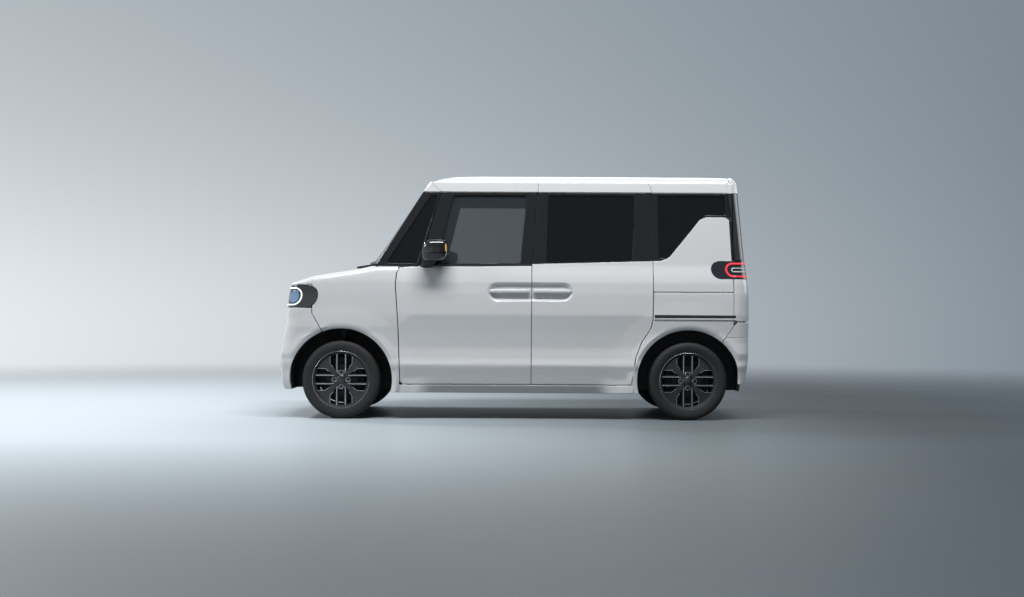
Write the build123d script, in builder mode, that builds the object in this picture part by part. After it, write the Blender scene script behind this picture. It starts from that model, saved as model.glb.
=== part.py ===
from build123d import *
import os
from functools import cache
from math import cos, radians, sin, sqrt

# A tall four-door kei wagon with rear sliding doors.
# The car faces -X, its left side is -Y, Z is up, and the ground is z = 0.
# Side outlines are tables of (end, x, z, radius): x is measured rearwards from the front ("F")
# or rear ("R") axle, z is the height above the ground, and radius rounds that corner.
# Left-hand pieces are modelled, and the right-hand ones are their mirror images.

os.makedirs("parts", exist_ok=True)

# ---- driving dimensions, mm ----
WHEELBASE = 2495.0
FRONT_OVERHANG = 461.0
REAR_OVERHANG = 439.0
WIDTH = 1475.0
HEIGHT = 1785.0
TRACK = 1305.0
SILL_Z = 190.0
DOOR_FOOT_Z = 252.0
BELT_Z = 1105.0
WINDOW_TOP_Z = 1640.0
DRIP_Z = 1718.0
COWL_Z = 1100.0
FLOOR_Z = 245.0
LOAD_FLOOR_Z = 485.0

WALL = 50.0
DOOR_WALL = 50.0
SLIDING_WALL = 36.0
FENDER_WALL = 16.0
BONNET_WALL = 16.0
ROOF_WALL = 16.0
GATE_WALL = 50.0
BUMPER_WALL = 36.0
LAMP_WALL = 36.0
GLASS_SINK = 11.0
GLASS = 5.0
SHEET = 15.0
SHUT_GAP = 8.0
SEAL_GAP = 5.0
SEAL_LIP = 14.0

ARCH_R = 368.0
LINER = 8.0
LINER_TUCK = 40.0
FLARE_R = 520.0
FLARE_LIP_R = 402.0
FLARE_OUT = 12.0
FRONT_HOUSE_Y = 384.0
REAR_HOUSE_Y = 536.0

TYRE_R = 281.0
TYRE_WIDTH = 165.0
TREAD_WIDTH = 142.0
RIM_BEAD_R = 190.5
RIM_FLANGE_R = 204.0
RIM_HALF = 74.0
HUB_OUT = 45.0
BOLT_PCD = 100.0
BOLT_R = 7.0
SPINDLE_R = 18.0
RUN = 0.05

KING_Y = 600.0
KING_Z = 170.0
KING_LEAN = 0.22
STRUT_TOP_Z = 800.0
REST = 0.3

HINGE_PIN_R = 4.0
HINGE_BARREL_R = 8.0
HINGE_LONG = 36.0
HINGE_PLATE = 8.0
PIN_PLAY = 0.3

# ---- places worked out from them ----
LENGTH = FRONT_OVERHANG + WHEELBASE + REAR_OVERHANG
HALF_L = LENGTH / 2
HALF_W = WIDTH / 2
FRONT_X = FRONT_OVERHANG - HALF_L
REAR_X = FRONT_X + WHEELBASE
AXLE = {"F": FRONT_X, "R": REAR_X}
WHEEL_Y = TRACK / 2
FAR = 3 * HALF_W


def spots(rows):
    """The (x, z) points of a side outline."""
    return [(AXLE[end] + x, z) for end, x, z, radius in rows]


def rounds(rows):
    return [radius for end, x, z, radius in rows]


# Lower body: nose, bonnet line run on under the glass, belt and tail
LOWER = [
    ("F", -400, SILL_Z, 0),
    ("F", -430, 205, 12),
    ("F", -461, 300, 90),
    ("F", -461, 480, 120),
    ("F", -409, 700, 60),
    ("F", -403, 850, 150),
    ("F", -362, COWL_Z - 108, 45),
    ("F", -225, COWL_Z - 57, 400),
    ("F", 130, COWL_Z, 0),
    ("F", 240, COWL_Z + 18, 0),
    ("R", 417, COWL_Z + 18, 0),
    ("R", 438, 900, 300),
    ("R", 439, 420, 100),
    ("R", 415, 268, 20),
    ("R", 250, 268, 0),
    ("R", -250, SILL_Z, 0),
]
# Roof line over the cabin
ROOF = [
    ("F", -13, 980, 0),
    ("F", -13, 1540, 0),
    ("F", 574, HEIGHT - 88, 60),
    ("F", 690, HEIGHT - 44, 250),
    ("F", 1000, HEIGHT - 13, 1500),
    ("F", 1536, HEIGHT, 6000),
    ("R", -308, HEIGHT, 6000),
    ("R", 76, HEIGHT - 8, 2000),
    ("R", 338, HEIGHT - 33, 40),
    ("R", 374, HEIGHT - 95, 60),
    ("R", 520, 1500, 0),
    ("R", 520, 980, 0),
]
# Cross-section: (in from the widest half-width, z, radius)
SECTION = [
    (48, SILL_Z, 0),
    (22, 250, 30),
    (7, 386, 20),
    (0, 740, 600),
    (0, 950, 250),
    (31, BELT_Z + 7, 60),
    (106, WINDOW_TOP_Z, 200),
    (124, DRIP_Z, 40),
    (200, HEIGHT - 26, 130),
    (HALF_W - 30, HEIGHT + 26, 0),
]
# Plan outline: (end, x, in from the widest half-width, radius)
PLAN = [
    ("F", -463, 517, 1500),
    ("F", -437, 200, 300),
    ("F", -372, 52, 110),
    ("F", -230, 0, 500),
    ("R", 240, 0, 500),
    ("R", 394, 22, 90),
    ("R", 434, 137, 300),
    ("R", 441, 487, 2500),
]
# Cabin, as plan outlines at two heights: (z, windscreen centre, windscreen corner, in from the
# widest half-width, tail), with the first two x from the front axle and the last from the rear one
CABIN = [
    (1000.0, 54.0, 183.0, 3.0, 425.0),
    (1800.0, 652.0, 679.0, 121.0, 360.0),
]
PILLAR_R = 45.0
TAIL_CORNER_R = 95.0
SCREEN_SLANT = 1.25

# Door, glass and lamp outlines
FRONT_DOOR = [
    ("F", 714, WINDOW_TOP_Z, 12),
    ("F", 559, BELT_Z - 2, 25),
    ("F", 446, BELT_Z - 12, 40),
    ("F", 404, 1050, 30),
    ("F", 393, 964, 100),
    ("F", 412, 680, 400),
    ("F", 427, 310, 30),
    ("F", 484, DOOR_FOOT_Z, 30),
    ("F", 1361, DOOR_FOOT_Z, 12),
    ("F", 1365, BELT_Z, 60),
    ("F", 1405, WINDOW_TOP_Z, 10),
]
SLIDING_DOOR = [
    ("F", 1413, WINDOW_TOP_Z, 10),
    ("F", 1373, BELT_Z, 60),
    ("F", 1369, DOOR_FOOT_Z, 12),
    ("R", -460, DOOR_FOOT_Z + 8, 25),
    ("R", -411, 283, 25),
    ("R", -396, 343, 60),
    ("R", -382, 451, 100),
    ("R", -340, 559, 100),
    ("R", -274, 655, 60),
    ("R", -259, 727, 60),
    ("R", -256, 1144, 200),
    ("R", -266, WINDOW_TOP_Z, 10),
]
SAIL_GLASS = [
    ("F", 312, BELT_Z + 8, 10),
    ("F", 632, WINDOW_TOP_Z - 15, 8),
    ("F", 698, WINDOW_TOP_Z - 15, 8),
    ("F", 545, BELT_Z + 8, 15),
]
FRONT_DOOR_GLASS = [
    ("F", 690, BELT_Z + 12, 25),
    ("F", 716, 1290, 200),
    ("F", 800, WINDOW_TOP_Z - 15, 20),
    ("F", 1339, WINDOW_TOP_Z - 15, 15),
    ("F", 1290, BELT_Z + 15, 20),
]
SLIDING_GLASS = [
    ("F", 1470, BELT_Z + 18, 20),
    ("F", 1484, WINDOW_TOP_Z - 15, 20),
    ("R", -380, WINDOW_TOP_Z - 15, 20),
    ("R", -400, BELT_Z + 33, 20),
]
QUARTER_GLASS = [
    ("R", -215, BELT_Z + 55, 15),
    ("R", -222, WINDOW_TOP_Z - 15, 15),
    ("R", 270, WINDOW_TOP_Z - 15, 15),
    ("R", 278, 1475, 15),
    ("R", 137, 1475, 30),
    ("R", 82, 1445, 60),
    ("R", -150, BELT_Z + 60, 50),
]
HEADLAMP = [
    ("F", -163, 957, 78),
    ("F", -163, 796, 78),
    ("F", -520, 796, 0),
    ("F", -520, 957, 0),
]
TAIL_LAMP = [
    ("R", 160, 1149, 64),
    ("R", 160, 1016, 64),
    ("R", 520, 1016, 0),
    ("R", 520, 1149, 0),
]
FRONT_BUMPER = [
    ("F", -520, SILL_Z - 20, 0),
    ("F", -520, 796, 0),
    ("F", -208, 796, 30),
    ("F", -208, 755, 30),
    ("F", -155, 655, 0),
    ("F", -100, 300, 0),
    ("F", -300, SILL_Z - 20, 0),
]
FENDER = [
    ("F", -520, 796, 0),
    ("F", -208, 796, 30),
    ("F", -208, 755, 30),
    ("F", -155, 655, 0),
    ("F", -100, 300, 0),
    ("F", 100, 300, 0),
    ("F", 330, 245, 0),
    ("F", 440, 245, 0),
    ("F", 640, BELT_Z - 60, 0),
    ("F", 559, BELT_Z - 8, 0),
    ("F", 262, BELT_Z - 8, 0),
    ("F", 122, COWL_Z + 60, 0),
    ("F", -520, COWL_Z + 60, 0),
]
REAR_BUMPER = [
    ("R", 520, 240, 0),
    ("R", 200, 240, 0),
    ("R", 250, 600, 0),
    ("R", 352, 712, 15),
    ("R", 520, 712, 0),
]
CENTRE_PILLAR = [
    ("F", 1335, SILL_Z + 5, 0),
    ("F", 1400, SILL_Z + 5, 0),
    ("F", 1404, BELT_Z, 0),
    ("F", 1448, DRIP_Z, 0),
    ("F", 1383, DRIP_Z, 0),
    ("F", 1339, BELT_Z, 0),
]
HANDLE_POCKET = [
    ("F", 1056, 845, 70),
    ("F", 1056, 990, 70),
    ("F", 1662, 990, 70),
    ("F", 1662, 845, 70),
]
POCKET_DEEP = 20.0
HANDLE_BARS = [("F", 1062, 1360), ("F", 1377, 1656)]
HANDLE_Z = 921.0
HANDLE_TALL = 27.0

BONNET_HALF = 648.0
BONNET_FRONT_X = FRONT_X - 520
BONNET_REAR_X = FRONT_X + 96
BONNET_LIP_Z = 966.0
LAMP_IN_Y = 435.0
GATE_X = REAR_X + 324
GATE_HALF = 560.0
GATE_FOOT_Z = 600.0
GATE_LAMP_Z = 1152.0
ROOF_END_X = REAR_X + 302

# Hinge axes: the gap corner on the neighbour's side stays inside the circle that clears the panel
DOOR_AXIS = (FRONT_X + 348, HALF_W - 37)
DOOR_HINGES_Z = (560.0, 930.0)
BONNET_AXIS = (BONNET_REAR_X + 48, COWL_Z - 30)
BONNET_SWING_R = 55.0
BONNET_HINGES_Y = (-585.0, 585.0)
GATE_AXIS = (ROOF_END_X - 38, HEIGHT - 55)
GATE_HINGES_Y = (-380.0, 380.0)
GATE_SWING_R = 49.0
# Space round a front door's axis that holds the fender's edge: (radius, z)
DOOR_SWING = [(106, 200), (106, 262), (95, 290), (90, 310), (82, 400), (77, 560), (73, 680), (65, 820),
              (58, 960),
              (58, HEIGHT)]


# ---- shapes shared by several pieces ----
def side_prism(rows, grow=0.0, left_only=True, near=0.0):
    """A side outline carried across the left half of the car, or across all of it."""
    with BuildPart() as prism:
        with BuildSketch(Plane.XZ.offset(near)):
            with BuildLine():
                FilletPolyline(*spots(rows), radius=rounds(rows), close=True)
            make_face()
            if grow:
                offset(amount=grow, kind=Kind.INTERSECTION)
        extrude(amount=FAR, both=not left_only)
    return prism.part


def block(x, y, z):
    """A box between two values on each axis."""
    with BuildPart() as solid:
        with Locations(((x[0] + x[1]) / 2, (y[0] + y[1]) / 2, (z[0] + z[1]) / 2)):
            Box(abs(x[1] - x[0]), abs(y[1] - y[0]), abs(z[1] - z[0]))
    return solid.part


def rod(centre, radius, length, direction=(0, 1, 0)):
    """A cylinder about a centre point."""
    with BuildPart() as solid:
        with BuildSketch(Plane(origin=centre, z_dir=direction)):
            Circle(radius)
        extrude(amount=length / 2, both=True)
    return solid.part


def mirrored(part):
    return mirror(objects=part, about=Plane.XZ, mode=Mode.PRIVATE)


def cut_by_section(inset):
    """The front view of the body, carried along the car."""
    left = [(in_y - HALF_W, z) for in_y, z, radius in SECTION]
    right = [(-y, z) for y, z in reversed(left)]
    radii = [radius for in_y, z, radius in SECTION]
    with BuildPart() as prism:
        with BuildSketch(Plane.YZ):
            with BuildLine():
                FilletPolyline(*left, *right, radius=radii + radii[::-1], close=True)
            make_face()
            if inset:
                offset(amount=-inset, kind=Kind.INTERSECTION)
        extrude(amount=LENGTH, both=True)
    return prism.part


def cut_by_plan(inset):
    """The top view of the body, carried upwards."""
    left = [(AXLE[end] + x, in_y - HALF_W) for end, x, in_y, radius in PLAN]
    right = [(x, -y) for x, y in reversed(left)]
    radii = [radius for end, x, in_y, radius in PLAN]
    with BuildPart() as prism:
        with BuildSketch(Plane.XY):
            with BuildLine():
                FilletPolyline(*left, *right, radius=radii + radii[::-1], close=True)
            make_face()
            if inset:
                offset(amount=-inset, kind=Kind.INTERSECTION)
        extrude(amount=2 * HEIGHT)
    return prism.part


def cabin_plan(row, inset):
    """One plan outline of the cabin: bowed windscreen, straight sides, rounded tail corners."""
    z, centre, corner, in_y, tail = row
    front = FRONT_X + centre + SCREEN_SLANT * inset
    pillar = FRONT_X + corner + SCREEN_SLANT * inset
    back = REAR_X + tail - inset
    side = HALF_W - in_y - inset
    with BuildSketch(Plane.XY.offset(z)) as plan:
        with BuildLine():
            ThreePointArc((pillar, -side), (front, 0), (pillar, side))
            Polyline((pillar, side), (back, side), (back, -side), (pillar, -side))
        make_face()
        fillet(plan.vertices().group_by(Axis.X)[0], max(PILLAR_R - inset / 2, 8))
        fillet(plan.vertices().group_by(Axis.X)[-1], max(TAIL_CORNER_R - inset, 12))
    return plan.sketch


@cache
def body_form(inset):
    """The body's closed outside form, or the same form set in by a wall."""
    section = cut_by_section(inset)
    with BuildPart() as lower:
        add(side_solid(LOWER, inset))
        add(section, mode=Mode.INTERSECT)
        add(cut_by_plan(inset), mode=Mode.INTERSECT)
    with BuildPart() as upper:
        loft([cabin_plan(row, inset) for row in CABIN], ruled=True)
        add(side_solid(ROOF, inset), mode=Mode.INTERSECT)
        add(section, mode=Mode.INTERSECT)
    with BuildPart() as form:
        add(lower.part)
        add(upper.part)
    return form.part


def side_solid(rows, inset):
    """A side outline carried across the whole car, set in by a wall."""
    return side_prism(rows, grow=-inset, left_only=False)


@cache
def flare(axle_x):
    """A shallow cone that swells the left side around a wheel."""
    with BuildPart() as cone:
        with BuildSketch(Plane.XZ.offset(HALF_W - FLARE_OUT)):
            with Locations((axle_x, TYRE_R)):
                Circle(FLARE_R)
        with BuildSketch(Plane.XZ.offset(HALF_W - 1)):
            with Locations((axle_x, TYRE_R)):
                Circle(FLARE_LIP_R)
        loft(ruled=True)
        with BuildSketch(Plane.XZ.offset(HALF_W - WALL)):
            with Locations((axle_x, TYRE_R)):
                Circle(FLARE_R)
        extrude(amount=WALL - FLARE_OUT)
        add(block((FRONT_X - 372, REAR_X + 400), (-FAR, FAR), (SILL_Z + 20, HEIGHT)), mode=Mode.INTERSECT)
        add(side_solid(LOWER, 0), mode=Mode.INTERSECT)
    return cone.part


@cache
def shell(wall, flared=False):
    """The body's skin, as thick as the wall."""
    with BuildPart() as skin:
        add(body_form(0.0))
        if flared:
            for axle_x in (FRONT_X, REAR_X):
                add(flare(axle_x))
                add(mirrored(flare(axle_x)))
        add(body_form(wall), mode=Mode.SUBTRACT)
    return skin.part


def arch_hole(axle_x, inner_y):
    """The space of a left wheel, open to the outside."""
    with BuildPart() as hole:
        add(rod((axle_x, -(inner_y + FAR) / 2, TYRE_R), ARCH_R, FAR - inner_y))
        add(liner_drum(axle_x, inner_y))
    return hole.part


def liner_drum(axle_x, inner_y):
    """The outside of a left wheel-house liner."""
    low_y, high_y = inner_y - LINER, HALF_W - LINER_TUCK
    return rod((axle_x, -(low_y + high_y) / 2, TYRE_R), ARCH_R + LINER, high_y - low_y)


def screen_prism(grow=0.0):
    """The windscreen's opening, as seen from the front."""
    low, high = COWL_Z + 22, HEIGHT - 118
    with BuildPart() as prism:
        with BuildSketch(Plane.YZ.offset(FRONT_X - 100)):
            with BuildLine():
                FilletPolyline((-628, low), (628, low), (556, high), (-556, high),
                               radius=40, close=True)
            make_face()
            if grow:
                offset(amount=grow)
        extrude(amount=1100)
    return prism.part


def gate_prism(grow=0.0):
    """The space the tailgate takes at the tail."""
    with BuildPart() as space:
        add(block((GATE_X - grow, 2 * FAR), (-FAR, FAR), (GATE_LAMP_Z - grow, 2 * HEIGHT)))
        add(block((ROOF_END_X - grow, 2 * FAR), (-FAR, FAR), (DRIP_Z - grow, 2 * HEIGHT)))
        add(block((GATE_X - grow, 2 * FAR), (-GATE_HALF - grow, GATE_HALF + grow),
                  (GATE_FOOT_Z - grow, 2 * HEIGHT)))
    return space.part


def save(part, name):
    part.label = name
    export_step(part, f"parts/{name}.step")


def gooseneck(plane, path, width, length):
    """A bent hinge arm: a strip along a path, extruded along the hinge axis."""
    with BuildPart() as arm:
        with BuildSketch(plane) as strip:
            with BuildLine():
                Polyline(*path)
            trace(line_width=width)
        extrude(amount=length / 2, both=True)
    return arm.part


# ---- side frames: pillars, roof rail, sill and rear quarter ----
with BuildPart() as side_frame_left:
    add(shell(WALL, flared=True))
    with BuildPart(mode=Mode.PRIVATE) as side_zone:
        add(block((FRONT_X + 180, GATE_X - 3), (-FAR, -540), (0, DRIP_Z)))
        add(block((GATE_X - 10, FAR), (-FAR, -GATE_HALF - 5), (GATE_FOOT_Z, GATE_LAMP_Z - 3)))
    add(side_zone.part, mode=Mode.INTERSECT)
    add(side_prism(FENDER), mode=Mode.SUBTRACT)
    add(block((-FAR, FRONT_X + 262), (-BONNET_HALF - 5, 0), (COWL_Z - 80, COWL_Z + 40)), mode=Mode.SUBTRACT)
    add(side_prism(FRONT_DOOR, grow=SHUT_GAP), mode=Mode.SUBTRACT)
    add(side_prism(SLIDING_DOOR, grow=SEAL_GAP), mode=Mode.SUBTRACT)
    add(side_prism(REAR_BUMPER), mode=Mode.SUBTRACT)
    add(side_prism(TAIL_LAMP, near=GATE_HALF), mode=Mode.SUBTRACT)
    add(side_prism(SAIL_GLASS), mode=Mode.SUBTRACT)
    add(side_prism(QUARTER_GLASS), mode=Mode.SUBTRACT)
    add(screen_prism(), mode=Mode.SUBTRACT)
    # the lip that the sliding door's seal closes against
    with BuildPart(mode=Mode.PRIVATE) as seal_ring:
        add(body_form(SLIDING_WALL))
        add(body_form(WALL), mode=Mode.SUBTRACT)
        add(side_prism(SLIDING_DOOR, grow=SEAL_GAP + 3), mode=Mode.INTERSECT)
        add(side_prism(SLIDING_DOOR, grow=-SEAL_LIP), mode=Mode.SUBTRACT)
        add(side_prism(FRONT_DOOR, grow=6), mode=Mode.SUBTRACT)
    add(seal_ring.part)
    # centre pillar behind the doors, its face level with the seal lip
    with BuildPart(mode=Mode.PRIVATE) as centre_pillar:
        add(body_form(WALL + 8))
        add(body_form(WALL + 50), mode=Mode.SUBTRACT)
        add(side_prism(CENTRE_PILLAR, near=450), mode=Mode.INTERSECT)
        add(block((-FAR, FAR), (-590, 0), (0, BELT_Z)), mode=Mode.SUBTRACT)
    add(centre_pillar.part)
    with BuildPart(mode=Mode.PRIVATE) as pillar_face:
        add(body_form(SLIDING_WALL))
        add(body_form(WALL + 50), mode=Mode.SUBTRACT)
        add(side_prism(CENTRE_PILLAR, near=590), mode=Mode.INTERSECT)
        add(side_prism(SLIDING_DOOR), mode=Mode.INTERSECT)
    add(pillar_face.part)
    # rails above and below the doors that carry the centre pillar
    with BuildPart(mode=Mode.PRIVATE) as rails:
        add(body_form(WALL))
        add(body_form(WALL + 50), mode=Mode.SUBTRACT)
        with BuildPart(mode=Mode.PRIVATE) as rail_zone:
            add(block((FRONT_X + 480, REAR_X - 250), (-FAR, -540), (WINDOW_TOP_Z + 12, DRIP_Z)))
            add(block((FRONT_X + 470, REAR_X - 420), (-FAR, -590), (SILL_Z + 20, DOOR_FOOT_Z - 9)))
        add(rail_zone.part, mode=Mode.INTERSECT)
    add(rails.part)
    # hinge post ahead of the door, with a bracket and a pin at each hinge
    add(block((FRONT_X + 276, FRONT_X + 336), (-HALF_W + 94, -HALF_W + 34), (420, BELT_Z - 65)))
    add(block((FRONT_X + 276, FRONT_X + 480), (-HALF_W + 98, -HALF_W + 58), (SILL_Z + 20, DOOR_FOOT_Z - 9)))
    add(block((FRONT_X + 276, FRONT_X + 372), (-HALF_W + 98, -HALF_W + 76), (SILL_Z + 20, 470)))
    add(block((FRONT_X + 276, FRONT_X + 336), (-HALF_W + 94, -HALF_W + 70), (BELT_Z - 70, BELT_Z + 2)))
    for hinge_z in DOOR_HINGES_Z:
        for end in (-1, 1):
            z = hinge_z + end * (HINGE_LONG + HINGE_PLATE + 2 * REST) / 2
            add(block((FRONT_X + 330, DOOR_AXIS[0] + 8), (-DOOR_AXIS[1] - 8, -DOOR_AXIS[1] + 8),
                      (z - HINGE_PLATE / 2, z + HINGE_PLATE / 2)))
        add(rod((DOOR_AXIS[0], -DOOR_AXIS[1], hinge_z), HINGE_PIN_R, HINGE_LONG + HINGE_PLATE, (0, 0, 1)))
    add(arch_hole(FRONT_X, FRONT_HOUSE_Y), mode=Mode.SUBTRACT)
    add(arch_hole(REAR_X, REAR_HOUSE_Y), mode=Mode.SUBTRACT)

save(side_frame_left.part, "side_frame_left")
save(mirrored(side_frame_left.part), "side_frame_right")
print("side frame solids", len(side_frame_left.solids()))

# ---- roof ----
with BuildPart() as roof:
    add(shell(ROOF_WALL))
    with BuildPart(mode=Mode.PRIVATE) as roof_zone:
        add(block((FRONT_X + 420, ROOF_END_X - SHUT_GAP), (-FAR, FAR), (DRIP_Z, 2 * HEIGHT)))
        add(block((FRONT_X + 420, FRONT_X + 720), (-540, 540), (HEIGHT - 200, 2 * HEIGHT)))
    add(roof_zone.part, mode=Mode.INTERSECT)
    add(screen_prism(), mode=Mode.SUBTRACT)
    for hinge_y in GATE_HINGES_Y:
        for end in (-1, 1):
            y = hinge_y + end * (HINGE_LONG + HINGE_PLATE + 2 * REST) / 2
            add(block((GATE_AXIS[0] - 9, GATE_AXIS[0] + 9), (y - HINGE_PLATE / 2, y + HINGE_PLATE / 2),
                      (GATE_AXIS[1] - 9, HEIGHT - 34)))
        add(rod((GATE_AXIS[0], hinge_y, GATE_AXIS[1]), HINGE_PIN_R, HINGE_LONG + HINGE_PLATE))
save(roof.part, "roof")
print("roof solids", len(roof.solids()))

# ---- front fenders ----
with BuildPart() as left_fender:
    add(shell(FENDER_WALL, flared=True))
    add(side_prism(FENDER, near=LAMP_IN_Y - 3), mode=Mode.INTERSECT)
    add(side_prism(FRONT_DOOR, grow=SHUT_GAP), mode=Mode.SUBTRACT)
    add(block((-FAR, BONNET_REAR_X + 3), (-BONNET_HALF - 5, FAR), (BONNET_LIP_Z - 5, 2 * HEIGHT)),
        mode=Mode.SUBTRACT)
    add(block((BONNET_REAR_X, FAR), (-BONNET_HALF - 5, FAR), (COWL_Z - 60, 2 * HEIGHT)), mode=Mode.SUBTRACT)
    add(side_prism(HEADLAMP, near=LAMP_IN_Y - 5), mode=Mode.SUBTRACT)
    add(arch_hole(FRONT_X, FRONT_HOUSE_Y), mode=Mode.SUBTRACT)
with BuildPart() as front_fenders:
    add(left_fender.part)
    add(mirrored(left_fender.part))
save(front_fenders.part, "front_fenders")
print("fender solids", len(front_fenders.solids()))

# ---- lamps, let into the body ----
for name, rows, inner_y in (("headlamps", HEADLAMP, LAMP_IN_Y), ("tail_lamps", TAIL_LAMP, GATE_HALF + 5)):
    with BuildPart() as lamps:
        add(shell(LAMP_WALL))
        add(side_prism(rows, near=inner_y), mode=Mode.INTERSECT)
        add(block((-FAR, REAR_X + 150), (-FAR, FAR), (0, 1000)) if name == "headlamps"
            else block((REAR_X, FAR), (-FAR, FAR), (0, HEIGHT)), mode=Mode.INTERSECT)
        mirror(about=Plane.XZ)
    save(lamps.part, name)
    print(name, "solids", len(lamps.solids()))

# ---- bumpers and grille ----
with BuildPart() as front_bumper:
    add(shell(BUMPER_WALL, flared=True))
    add(side_prism(FRONT_BUMPER, left_only=False), mode=Mode.INTERSECT)
    add(arch_hole(FRONT_X, FRONT_HOUSE_Y), mode=Mode.SUBTRACT)
    add(mirrored(arch_hole(FRONT_X, FRONT_HOUSE_Y)), mode=Mode.SUBTRACT)
save(front_bumper.part, "front_bumper")
print("bumper solids", len(front_bumper.solids()))

with BuildPart() as grille:
    add(shell(BUMPER_WALL))
    add(block((-FAR, FRONT_X - 300), (-LAMP_IN_Y + 3, LAMP_IN_Y - 3), (796, BONNET_LIP_Z - 5)),
        mode=Mode.INTERSECT)
save(grille.part, "grille")

with BuildPart() as rear_bumper:
    add(shell(BUMPER_WALL, flared=True))
    add(side_prism(REAR_BUMPER, left_only=False), mode=Mode.INTERSECT)
    add(gate_prism(3), mode=Mode.SUBTRACT)
    add(block((-FAR, REAR_X + 400), (-620, 620), (0, 320)), mode=Mode.SUBTRACT)
    add(arch_hole(REAR_X, REAR_HOUSE_Y), mode=Mode.SUBTRACT)
    add(mirrored(arch_hole(REAR_X, REAR_HOUSE_Y)), mode=Mode.SUBTRACT)
save(rear_bumper.part, "rear_bumper")
print("rear bumper solids", len(rear_bumper.solids()))

# ---- bonnet and cowl ----
with BuildPart() as bonnet:
    add(shell(BONNET_WALL))
    add(block((BONNET_FRONT_X, BONNET_REAR_X), (-BONNET_HALF, BONNET_HALF), (BONNET_LIP_Z, 2 * HEIGHT)),
        mode=Mode.INTERSECT)
    add(rod((BONNET_AXIS[0], 0, BONNET_AXIS[1]), BONNET_SWING_R, 2 * FAR), mode=Mode.SUBTRACT)
    for hinge_y in BONNET_HINGES_Y:
        ax, az = BONNET_AXIS
        add(gooseneck(Plane.XZ.offset(-hinge_y), [(ax, az), (ax - 40, az - 34), (ax - 86, az - 6),
                                                  (ax - 120, az + 4)],
                      10, HINGE_LONG))
        add(rod((ax, hinge_y, az), HINGE_BARREL_R, HINGE_LONG))
        add(rod((ax, hinge_y, az), HINGE_PIN_R + PIN_PLAY, HINGE_LONG), mode=Mode.SUBTRACT)
save(bonnet.part, "bonnet")
print("bonnet solids", len(bonnet.solids()))

with BuildPart() as cowl:
    add(shell(GLASS_SINK))
    add(block((BONNET_REAR_X + SHUT_GAP, FRONT_X + 262), (-BONNET_HALF - 5, BONNET_HALF + 5),
              (COWL_Z - 30, COWL_Z + 40)), mode=Mode.INTERSECT)
save(cowl.part, "cowl")
print("cowl solids", len(cowl.solids()))

# ---- windscreen and the fixed panes ----
@cache
def glass_layer():
    """The layer of the body's form that the panes are cut from."""
    with BuildPart() as layer:
        add(body_form(GLASS_SINK))
        add(body_form(GLASS_SINK + GLASS), mode=Mode.SUBTRACT)
    return layer.part


def pane(cutter):
    with BuildPart() as glass:
        add(glass_layer())
        add(cutter, mode=Mode.INTERSECT)
    return glass.part


save(pane(screen_prism()), "windshield")

with BuildPart() as side_glass:
    for rows in (SAIL_GLASS, SLIDING_GLASS, QUARTER_GLASS):
        add(pane(side_prism(rows, near=400)))
    mirror(about=Plane.XZ)
save(side_glass.part, "side_glass")
print("side glass solids", len(side_glass.solids()))


# ---- doors ----
def handle_cut():
    """The shallow pocket that the two left handles share."""
    with BuildPart() as cut:
        add(side_prism(HANDLE_POCKET, near=HALF_W - POCKET_DEEP))
    return cut.part


def handle_bar(row):
    end, low, high = row
    return block((AXLE[end] + low, AXLE[end] + high), (-HALF_W + POCKET_DEEP + 2, -HALF_W + 3),
                 (HANDLE_Z - HANDLE_TALL / 2, HANDLE_Z + HANDLE_TALL / 2))


def door_swing():
    """The space round the left door's axis that the door keeps clear of."""
    foot = (DOOR_AXIS[0], -DOOR_AXIS[1], 0)
    with BuildPart() as swing:
        with BuildSketch(Plane(origin=foot, x_dir=(1, 0, 0), z_dir=(0, -1, 0))):
            with BuildLine():
                Polyline((0, DOOR_SWING[0][1]), *DOOR_SWING, (0, DOOR_SWING[-1][1]), close=True)
            make_face()
        revolve(axis=Axis(foot, (0, 0, 1)))
    return swing.part


with BuildPart() as front_door_left:
    add(shell(DOOR_WALL))
    add(side_prism(FRONT_DOOR, near=400), mode=Mode.INTERSECT)
    add(side_prism(FRONT_DOOR_GLASS), mode=Mode.SUBTRACT)
    add(handle_cut(), mode=Mode.SUBTRACT)
    add(door_swing(), mode=Mode.SUBTRACT)
    add(handle_bar(HANDLE_BARS[0]))
    for hinge_z in DOOR_HINGES_Z:
        ax, ay = DOOR_AXIS[0], -DOOR_AXIS[1]
        add(gooseneck(Plane.XY.offset(hinge_z),
                      [(ax, ay), (ax + 20, ay + 66), (ax + 66, ay + 66), (ax + 112, ay + 22),
                       (ax + 170, ay + 14)],
                      9, HINGE_LONG))
        add(rod((ax, ay, hinge_z), HINGE_BARREL_R, HINGE_LONG, (0, 0, 1)))
        add(rod((ax, ay, hinge_z), HINGE_PIN_R + PIN_PLAY, HINGE_LONG, (0, 0, 1)), mode=Mode.SUBTRACT)
save(front_door_left.part, "front_door_left")
save(mirrored(front_door_left.part), "front_door_right")
print("front door solids", len(front_door_left.solids()))

with BuildPart() as front_door_glass_left:
    add(pane(side_prism(FRONT_DOOR_GLASS, near=400)))
save(front_door_glass_left.part, "front_door_glass_left")
save(mirrored(front_door_glass_left.part), "front_door_glass_right")

with BuildPart() as sliding_door_left:
    add(shell(SLIDING_WALL))
    add(side_prism(SLIDING_DOOR, near=400), mode=Mode.INTERSECT)
    add(side_prism(SLIDING_GLASS), mode=Mode.SUBTRACT)
    add(handle_cut(), mode=Mode.SUBTRACT)
    add(handle_bar(HANDLE_BARS[1]))
save(sliding_door_left.part, "sliding_door_left")
save(mirrored(sliding_door_left.part), "sliding_door_right")
print("sliding door solids", len(sliding_door_left.solids()))

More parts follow.
